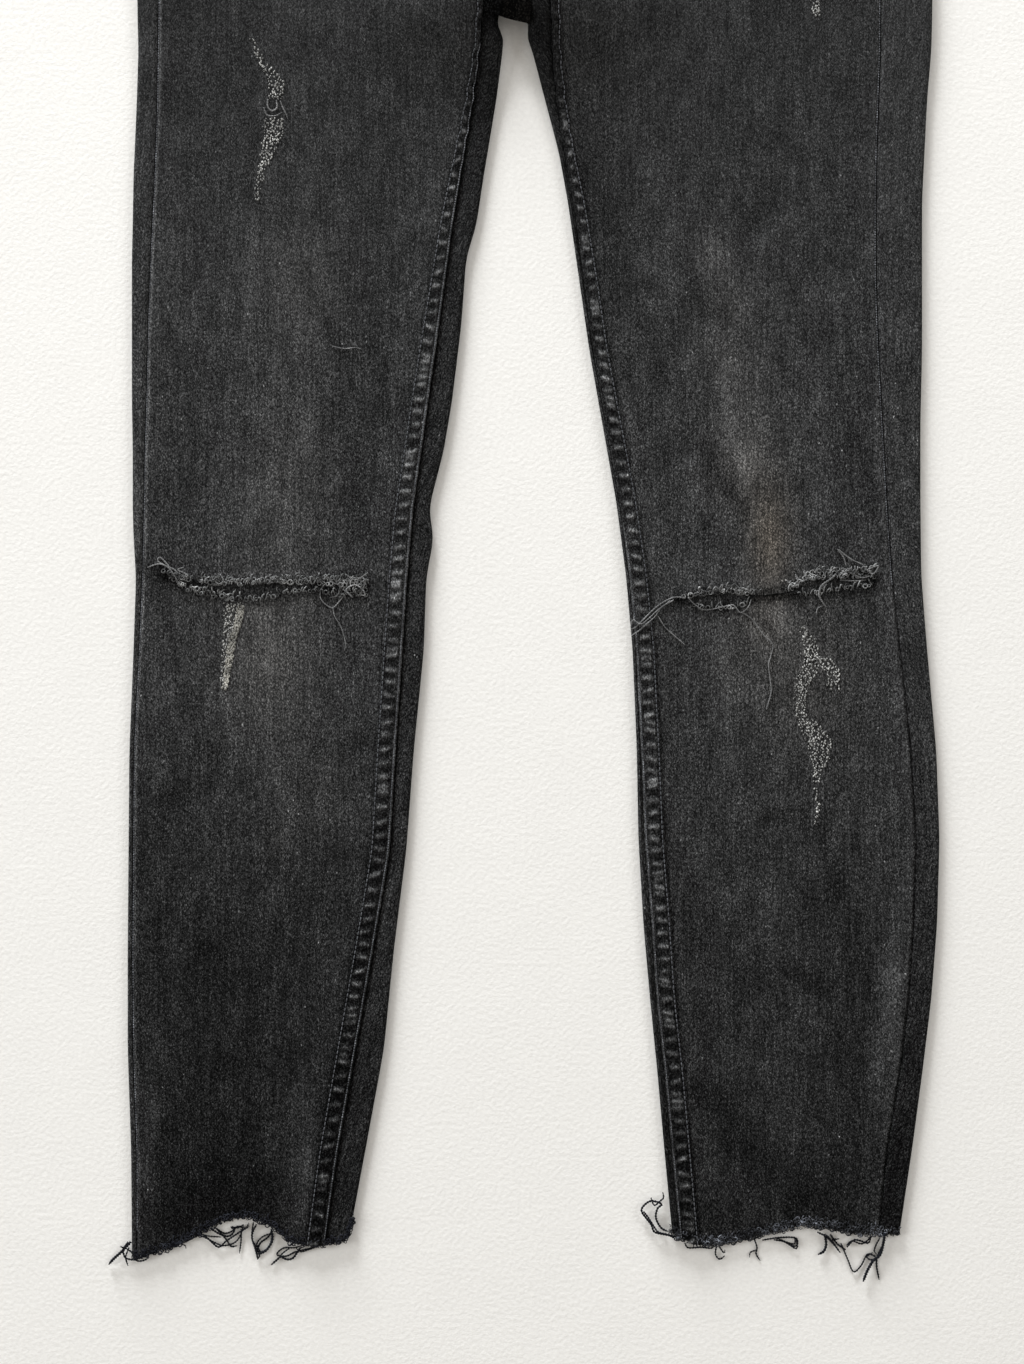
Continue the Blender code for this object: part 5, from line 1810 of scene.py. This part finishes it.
# Drawn and hanging yarns, from end to end: half-thickness, then X and Y of each point of the route
KNEE_YARNS = {
    "right": (
        (0.4, ((-210.5, -87.5), (-216, -84), (-219.5, -78.5), (-224, -74), (-225.5, -76), (-221, -79),
            (-216, -81), (-212, -85))),
        (0.35, ((-231.5, -80), (-225.5, -78), (-220.5, -79), (-216, -84), (-213, -89), (-210.5, -92))),
        (0.35, ((-210, -80), (-213.5, -81.5), (-208.5, -84), (-210.5, -87))),
        (0.4, ((-125, -84), (-120.5, -89), (-116, -91), (-117.5, -96.5), (-122, -98))),
        (0.4, ((-113, -84), (-107, -87.5), (-102, -85), (-99.5, -83))),
        (0.4, ((-108.5, -98), (-112.5, -93.5), (-107, -90.5), (-102, -94), (-101, -98))),
        (0.4, ((-104, -87.5), (-108.5, -89), (-114.5, -87.5), (-119, -88), (-120.5, -84.5))),
        (0.4, ((-100.5, -87.5), (-102, -92), (-104, -96.5))),
        (0.35, ((-188, -84), (-186, -88), (-189, -90), (-192, -87))),
        (0.3, ((-112.5, -95), (-116, -99.5), (-120.5, -104), (-125, -102), (-128, -98), (-127.5, -93),
            (-124.5, -89))),
        (0.25, ((-120.5, -104), (-119.5, -109), (-115.5, -116), (-113, -125), (-113.5, -130))),
    ),
    "left": (
        (0.35, ((91, -98), (84, -98), (77.5, -101), (71.5, -105.5), (65.5, -111.5), (61, -116),
            (58, -117))),
        (0.35, ((84, -99.5), (76.5, -104), (73, -109), (67, -114.5), (63, -118), (58.5, -121))),
        (0.3, ((82, -100), (74.5, -105.5), (68.5, -111), (64, -114), (59.5, -111.5), (58, -116))),
        (0.3, ((74.5, -109), (79, -116), (84, -120.5), (91, -126.5))),
        (0.35, ((187.5, -79), (186, -74), (182.5, -69), (187, -72.5), (191.5, -75.5), (198, -78.5))),
        (0.45, ((181, -84), (178, -87), (172.5, -91), (171, -96.5), (174, -102), (175.5, -104))),
        (0.35, ((178.5, -83), (177, -88), (172, -93), (172, -98), (174, -102.5), (170.5, -104.5),
            (169.5, -108.5))),
        (0.28, ((125.5, -107), (131.5, -111.5), (138, -120.5), (143.5, -126), (142.5, -132.5),
            (141, -138.5), (142, -147.5), (142.5, -155), (139.5, -165.5))),
        (0.4, ((199.5, -81.5), (206.5, -79), (203.5, -84), (199.5, -81))),
        (0.4, ((187, -81.5), (196, -86), (202, -85))),
        (0.35, ((184, -87.5), (191.5, -88), (199.5, -87.5))),
        (0.28, ((92.5, -98), (97, -102.5), (103, -105.5), (112, -104), (119.5, -102.5), (124, -107),
            (128.5, -104), (130.5, -99))),
        (0.4, ((157, -84), (160, -88), (163.5, -87), (162, -82))),
        (0.4, ((151.5, -87.5), (155.5, -91), (159, -90), (157, -85))),
    ),
}
THIGH_YARNS = (
    (0.45, ((-159.5, 201), (-159.5, 196.5), (-157, 194), (-154, 196), (-154.5, 200.5))),
    (0.35, ((-152, 200), (-150.5, 196), (-148.5, 192), (-147.5, 189))),
    (0.3, ((-162, 196), (-160, 191.5), (-155, 191), (-151, 193))),
    (0.25, ((-121, 53), (-114, 51.5), (-107, 52), (-103, 51))),
)


def smooth_route(points):
    """A smooth curve through given points, at an even spacing."""
    points = np.asarray(points, float)
    padded = np.concatenate([2.0 * points[:1] - points[1:2], points, 2.0 * points[-1:] - points[-2:-1]])
    share = np.linspace(0.0, 1.0, 8, endpoint=False)[:, None]
    stretches = []
    for before, start, end, after in zip(padded, padded[1:], padded[2:], padded[3:]):
        bend = 2.0 * before - 5.0 * start + 4.0 * end - after
        twist = 3.0 * start - before - 3.0 * end + after
        stretches.append(start + ((end - before) * share + bend * share**2 + twist * share**3) / 2.0)
    route = np.concatenate(stretches + [points[-1:]])
    length = np.concatenate([[0.0], np.cumsum(np.linalg.norm(np.diff(route, axis=0), axis=1))])
    even = np.linspace(0.0, length[-1], max(int(length[-1] / YARN_SPACING), 3) + 1)
    return np.stack([np.interp(even, length, route[:, axis]) for axis in range(points.shape[1])], axis=1)


def ply(route, radius, turn):
    """One of a yarn's two plies, wound round its route: points and faces of a closed tube."""
    tangent = np.gradient(route, axis=0)
    tangent /= np.linalg.norm(tangent, axis=1)[:, None]
    side = np.cross(tangent, (0.0, 0.0, 1.0))
    side /= np.maximum(np.linalg.norm(side, axis=1)[:, None], 1e-6)
    up = np.cross(side, tangent)
    wound = turn + np.arange(len(route)) * YARN_SPACING * 2.0 * math.pi / PLY_PITCH
    last = len(route) - 1
    first_end, last_end = YARN_ENDS
    slim = np.interp(np.arange(len(route)), (0, 2, last - 3, last), (first_end, 1, 1, last_end))
    slim = radius * slim[:, None]
    centre = route + PLY_OUT * slim * (np.cos(wound)[:, None] * side + np.sin(wound)[:, None] * up)
    angles = np.arange(PLY_SIDES) * 2.0 * math.pi / PLY_SIDES
    rings = [centre + PLY_THICK * slim * (math.cos(turn) * side + math.sin(turn) * up) for turn in angles]
    return np.stack(rings, axis=1).reshape(-1, 3), tube_faces(len(route), PLY_SIDES)


def joined(name, parts, material):
    """One piece of several parts, each of points and faces."""
    points, faces = [], []
    count = 0
    for part_points, part_faces in parts:
        faces.extend(tuple(corner + count for corner in face) for face in part_faces)
        points.append(part_points)
        count += len(part_points)
    piece = new_piece(name, np.concatenate(points), faces)
    if material:
        piece.data.materials.append(material)
        piece.data.shade_smooth()
    return piece


def yarns(name, table, height_at, material, stout, node=None):
    """Two-ply yarns along their routes, as one piece, stout times as thick as the table gives."""
    plies = []
    for index, (half_thickness, places) in enumerate(table):
        radius = half_thickness * stout
        route = smooth_route(places)
        x, y = route[:, 0], route[:, 1]
        route = placed(x, y, height_at(x, y) + radius * (1.0 + 0.8 * (index % 3)))
        plies += [ply(route, radius, turn) for turn in (0.0, math.pi)]
    fixed(joined(name, plies, material), node)


def over_front(half):
    """The height of the front and its felled band under any place."""

    def height(x, y):
        out = half.sign * x
        from_fold = out - front_edges(half, y)[1]
        over_band = band_height(half, np.clip(from_fold, 0.0, BAND_WIDTH), y)
        return np.where(from_fold < BAND_WIDTH, over_band, front_height(half, out, y)) + 0.15

    return height


LOOSE_YARN = yarn_finish("loose_yarn", (0.165, 0.165, 0.165), 0.7)
for half in HALVES:
    yarns("knee_yarns_" + half.name, KNEE_YARNS[half.name], over_front(half), LOOSE_YARN, stout=1.35)
yarns("thigh_yarns", THIGH_YARNS, over_front(RIGHT), LOOSE_YARN, stout=1.3)

# ----------------------------------------------------------------------
# Worn patches. Where the denim's dyed face has been rubbed through, the broken floats of its cotton warp
# stand up as rows of tiny pale nubs over the darker ground.

# Each patch by its middle line: X, Y and half-width of its points. The rib is the densest wear, under the
# right knee.
PATCHES = {
    "right": (
        ((-170, 238, 1.3), (-163, 224, 2.6), (-155, 212, 4.5), (-154, 200, 5)),
        ((-156, 190, 6.3), (-157, 178, 6), (-161, 165, 3.6), (-165, 150, 2.2), (-166.5, 140, 1.2)),
        ((-180, -101, 6), (-181, -112, 5), (-183, -124, 3.6), (-185, -139, 2.6), (-186.5, -152, 2)),
    ),
    "left": (
        ((160, -115, 1.5), (165, -123, 4), (167, -137, 5), (163, -147, 5), (160, -157, 4), (160, -167, 3)),
        ((160, -167, 3), (166, -175, 6.5), (171, -184, 8), (172, -194, 6), (170.5, -204, 2.6),
            (169.5, -214, 1.3)),
        ((169.5, -214, 1.2), (171, -226, 1), (168.5, -237, 0.8)),
        ((171, -132, 3), (178, -140, 5), (180.5, -154, 3.5)),
        ((168, 272, 3), (169.5, 250, 2.5)),
    ),
    "rib": (
        ((-175.5, -103, 2), (-177.5, -113, 2.2), (-181, -124, 2.2), (-183, -136, 2.1), (-186, -154, 1.5)),
    ),
}
NUB_SIZES = {"Density": 4.6e5, "Width": 0.85 * MM, "Length": 1.4 * MM}
PATCH_COLUMNS = (-1.0, -0.5, 0.0, 0.5, 1.0)


def patch_mesh(half, patch):
    """A strip over the cloth as wide as a worn patch: its points and faces."""
    route = smooth_route(patch)[::2]
    rows = []
    for x, y, width in route:
        across = x + width * np.array(PATCH_COLUMNS)
        level = np.full_like(across, y)
        rows.append(placed(across, level, over_front(half)(across, level)))
    columns = len(PATCH_COLUMNS)
    faces = []
    for row in range(len(rows) - 1):
        for column in range(columns - 1):
            corner = row * columns + column
            faces.append((corner, corner + 1, corner + columns + 1, corner + columns))
    return np.concatenate(rows), faces


def nub_tree(yarn, seed):
    """Short broken floats scattered over a surface, all lying roughly along the warp."""
    graph, given = geometry_graph("warp_nubs", NUB_SIZES)
    sockets = {"Mesh": given, "Density": given.other("Density"), "Seed": seed}
    points = graph.add("GeometryNodeDistributePointsOnFaces", {}, sockets)
    nub = graph.add("GeometryNodeMeshUVSphere", {}, {"Segments": 6, "Rings": 4, "Radius": 0.5})
    size = graph.vector(given.other("Width"), given.other("Length"), given.other("Width"))
    size = graph.scaled(size, by_chance(graph, "FLOAT", 0.55, 1.3, seed))
    turn = by_chance(graph, "FLOAT_VECTOR", (-0.3, -0.3, -0.7), (0.3, 0.3, 0.7), seed + 1)
    return finished(graph, scattered(graph, points, nub, turn, size), yarn)


def worn_patches(half, where, tree, sizes=None):
    patches = [patch_mesh(half, patch) for patch in PATCHES[where]]
    piece = joined("worn_patches_" + where, patches, None)
    grown(piece, tree, sizes)
    fixed(piece)


NUBS = nub_tree(yarn_finish("worn_warp", (0.285, 0.284, 0.272), 0.9), SEED)
RIB_NUBS = nub_tree(yarn_finish("worn_rib", (0.27, 0.262, 0.235), 0.8), SEED + 5)
for half in HALVES:
    worn_patches(half, half.name, NUBS)
worn_patches(RIGHT, "rib", RIB_NUBS, {"Density": 1.1e6, "Length": 2.2 * MM})

# ----------------------------------------------------------------------
# Raw hems. Both hems are cut and left unhemmed: the edge has washed into a low fringe of dark curls, and
# a few weft yarns have worked loose and lie on whatever the jeans rest on.

DARK_YARN = yarn_finish("hem_yarn_black", (0.014, 0.015, 0.020), 0.8)
HEM_YARN = yarn_finish("hem_yarn_grey", (0.036, 0.038, 0.043), 1.9)
LOOSE_DARK = yarn_finish("loose_yarn_black", (0.007, 0.008, 0.011), 0.8)
HEM_DROP = 8.0
HEM_START = 2.0
HEM_LOW = 0.7
HEM_SUNK = 0.4
# The hems' loose yarns, from end to end: half-thickness, then X and Y of each point of the route
HEM_YARNS = {
    "right": (
        (0.55, ((-242, -485), (-247, -490.5), (-252, -495), (-255.5, -499))),
        (0.3, ((-243, -488.5), (-245, -494), (-244, -500))),
        (0.25, ((-223, -490), (-217, -486), (-210, -487), (-209, -489.5))),
        (0.25, ((-219, -488), (-210, -485.5), (-203, -482), (-198, -479))),
        (0.35, ((-194, -477), (-188.5, -481), (-183, -482), (-180, -478.5), (-182, -476.5), (-178, -477),
            (-174.5, -475))),
        (0.35, ((-198, -481), (-192.5, -486.5), (-189, -488.5), (-185, -485), (-180.5, -482),
            (-176, -479), (-171, -476))),
        (0.3, ((-190.5, -478), (-187, -482), (-184.5, -485), (-182, -488.5), (-178.5, -488))),
        (0.3, ((-176, -478), (-176, -485), (-177, -492.5))),
        (0.35, ((-166.5, -474.5), (-169, -480), (-169, -484.5), (-167, -488.5), (-166, -496))),
        (0.35, ((-157, -478.5), (-160, -483), (-164.5, -486.5), (-166, -491.5), (-162, -491),
            (-158.5, -487), (-157, -480))),
        (0.4, ((-140, -488.5), (-144.5, -495), (-148.5, -496), (-152, -494.5), (-154.5, -496.5),
            (-158, -499.5))),
        (0.3, ((-146, -488.5), (-150.5, -492), (-153, -494.5))),
        (0.25, ((-126.5, -486.5), (-135, -490), (-140, -491.5), (-143, -489))),
        (0.3, ((-241, -493), (-238.5, -496.5), (-234.5, -496.5), (-231, -494.5))),
        (0.3, ((-201.4, -480.3), (-191.8, -485.9), (-186.4, -487.7), (-179.8, -485.9), (-176.2, -481.1),
            (-174.4, -474.7))),
        (0.3, ((-191.8, -476.5), (-186.4, -480.5), (-181.6, -479.3), (-178, -476.3), (-173.2, -477.5),
            (-171.4, -474))),
        (0.3, ((-168.4, -473.5), (-169.6, -482.3), (-167.8, -488.9), (-165.7, -495.5), (-164.8, -491.3),
            (-166.6, -487.1), (-163.6, -482.9), (-158.2, -480.3))),
        (0.5, ((-157.3, -477), (-157, -484.1), (-160, -489.5), (-163, -491.6), (-165.7, -492.5))),
        (0.3, ((-126.4, -486.7), (-135.7, -489.5), (-143.2, -491.6), (-148.8, -494.3), (-154.6, -493.4),
            (-150.7, -489.5), (-144.2, -488.9), (-139.6, -487.5))),
        (0.35, ((-243.6, -485), (-246.4, -489.5), (-245.4, -494.3), (-242.6, -495.5), (-238.8, -495.5),
            (-231.4, -492.5), (-225.7, -489))),
        (0.3, ((-248.2, -487.7), (-243.4, -489.5), (-239.8, -492.5), (-234.4, -495.5))),
        (0.25, ((-209.8, -482.3), (-201.4, -480.5), (-194.8, -482.3), (-188.2, -482.9))),
    ),
    "left": (
        (0.4, ((86, -482), (78, -480.5), (72.5, -479), (70.5, -474.5), (65, -467), (66.5, -463),
            (71, -460.5), (77, -462.5), (74.5, -465), (73.5, -470.5), (76.5, -476.5), (81, -479))),
        (0.3, ((70.5, -458.5), (72.5, -463), (76, -460.5), (78, -458.5), (77.5, -455))),
        (0.35, ((66, -466.5), (69, -470.5), (72.5, -476), (75, -479), (80.5, -480.5), (85, -483))),
        (0.3, ((91, -486), (93, -489), (100.5, -488.5), (107, -489), (108.5, -486.5))),
        (0.3, ((110, -486.5), (109.5, -493), (112, -496), (115, -494))),
        (0.3, ((111, -487), (114.5, -492), (115, -490))),
        (0.3, ((132.5, -483), (134.5, -489), (134, -493), (136.5, -497))),
        (0.25, ((134, -490.5), (130.5, -492), (130, -495))),
        (0.3, ((144.5, -484), (151, -485.5), (158, -489.5), (158, -484.5), (156, -482.5))),
        (0.25, ((145, -483), (156.5, -487), (157, -483))),
        (0.5, ((175, -480.5), (176, -486.5), (174.5, -491), (171, -493))),
        (0.35, ((176, -481), (180.5, -486.5), (184.5, -492))),
        (0.35, ((178.5, -481), (183, -487), (188, -490.5))),
        (0.3, ((185, -486.5), (189, -496), (192.5, -503.5), (197, -500), (201, -493), (206, -495),
            (203, -496.5), (200.5, -494.5), (204, -492))),
        (0.55, ((210.5, -479), (210, -486.5), (208, -493), (204, -496.5), (200.5, -502.5), (198, -509))),
        (0.35, ((210, -488), (207, -494.5), (206.5, -500), (208, -508.5))),
        (0.3, ((208, -483), (205, -490.5), (206.5, -493))),
        (0.35, ((188.5, -488.5), (192.5, -484), (196.5, -484.5), (201, -486), (202.5, -483))),
        (0.3, ((137.6, -484.3), (147.8, -482.9), (158, -483.5), (158, -488.3), (152, -486.5))),
        (0.35, ((170.6, -479.3), (176, -482.3), (182, -488.3), (179.6, -484.7), (183.8, -483.5))),
        (0.3, ((203.6, -481.3), (197.6, -486.5), (191.6, -484.7), (188, -487.7))),
    ),
}


def past_hem(half):
    """The height of a loose yarn: level with the cloth inside the hem, then down to the ground."""

    def height(x, y):
        below = half.hem_at(half.sign * x) - y
        return HEM_START * (1.0 - eased(below / HEM_DROP))

    return height


HEM_FRAY = {"right": fray_tree(DARK_YARN, SEED + 20), "left": fray_tree(HEM_YARN, SEED + 30)}
HEM_FRAY_SIZES = {"Size": 0.95, "Pitch": 1.2 * MM, "Reach": 0.8 * MM}
# The rows of curls along each hem: whether they lie on the front's edge or on the ground, and how far up
HEM_LEVELS = {
    "right": ((True, -0.6), (True, 1.0), (True, 2.4), (False, -0.4)),
    "left": ((True, -0.6), (True, 1.0), (True, 2.4), (True, 3.9), (False, -0.4)),
}


def hem_runs(half):
    """Points along both plies' raw edges."""
    runs = []
    out = np.arange(half.hem_out[0] - HEM_CORNER, half.hem_out[-1] + HEM_CORNER, HEM_STEP)
    for on_edge, up in HEM_LEVELS[half.name]:
        y = half.hem_at(out) + up
        z = front_height(half, out, y) - HEM_SUNK if on_edge else HEM_LOW
        runs.append(half.placed(out, y, z))
    return runs


for half in HALVES:
    name = half.name
    grown_along("hem_edge_" + name, hem_runs(half), HEM_FRAY[name], HEM_FRAY_SIZES)
    yarns("hem_yarns_" + name, HEM_YARNS[name], past_hem(half), LOOSE_DARK, 1.9, "fringe_" + name)

# ----------------------------------------------------------------------
# The set. A pale matt backdrop of felted paper, soft low light from beyond the waist end and from both
# sides, and a camera looking straight down on the legs.

FLOOR_COLOUR = (0.905, 0.889, 0.855)
FLOOR_REACH = 4000.0
CAMERA_PLACE = (-0.013, -0.1487, 1.141)
WORLD_COLOUR = (1.0, 0.957, 0.9, 1.0)
LAMP_COLOUR = (0.95, 0.975, 1.0)
WORLD_STRENGTH = 0.415
# The soft lamps: where each stands and its side, in metres, and its power in watts
LAMPS = (
    ("lamp_behind", (-1.3, 4.4, 0.9), 1.4, 421.0),
    ("lamp_left", (-4.2, 0.0, 2.0), 2.0, 82.0),
    ("lamp_right", (2.8, 1.4, 2.0), 1.4, 33.0),
)


def felted_paper():
    """Rough pale paper, its brightness a little uneven."""
    material, graph = finish_named("felted_paper", roughness=0.95, specular=0.2)
    place = graph.add("ShaderNodeTexCoord", {}, {}, "Object")
    fine = graph.noisy(place, 420.0, 3.0) - 0.5
    soft = graph.noisy(place, 24.0, 2.0) - 0.5
    graph.feed("Base Color", graph.scaled(FLOOR_COLOUR, 1.0 + fine * 0.16 + soft * 0.03))
    graph.emboss(fine + soft, 0.4, 0.5)
    return material


corners = [(x * FLOOR_REACH, y * FLOOR_REACH, 0.0) for x, y in ((-1, -1), (1, -1), (1, 1), (-1, 1))]
backdrop = new_piece("backdrop", corners, [(0, 1, 2, 3)])
backdrop.data.materials.append(felted_paper())
backdrop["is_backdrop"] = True

world = bpy.data.worlds.new("soft_room")
world.use_nodes = True
world.node_tree.nodes["Background"].inputs["Color"].default_value = WORLD_COLOUR
world.node_tree.nodes["Background"].inputs["Strength"].default_value = WORLD_STRENGTH
bpy.context.scene.world = world

for name, place, side, power in LAMPS:
    lamp = bpy.data.objects.new(name, bpy.data.lights.new(name, "AREA"))
    lamp.data.energy = power
    lamp.data.color = LAMP_COLOUR
    lamp.data.size = side
    lamp.location = place
    lamp.rotation_euler = (-Vector(place)).to_track_quat("-Z", "Y").to_euler()
    bpy.context.scene.collection.objects.link(lamp)

camera = bpy.data.objects.new("camera", bpy.data.cameras.new("camera"))
camera.location = CAMERA_PLACE
bpy.context.scene.collection.objects.link(camera)
bpy.context.scene.camera = camera
bpy.context.scene.view_settings.view_transform = "Standard"

boxes = {"cad": cad_box, "visual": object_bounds()}
{name: [list(map(float, corner)) for corner in box] for name, box in boxes.items()}
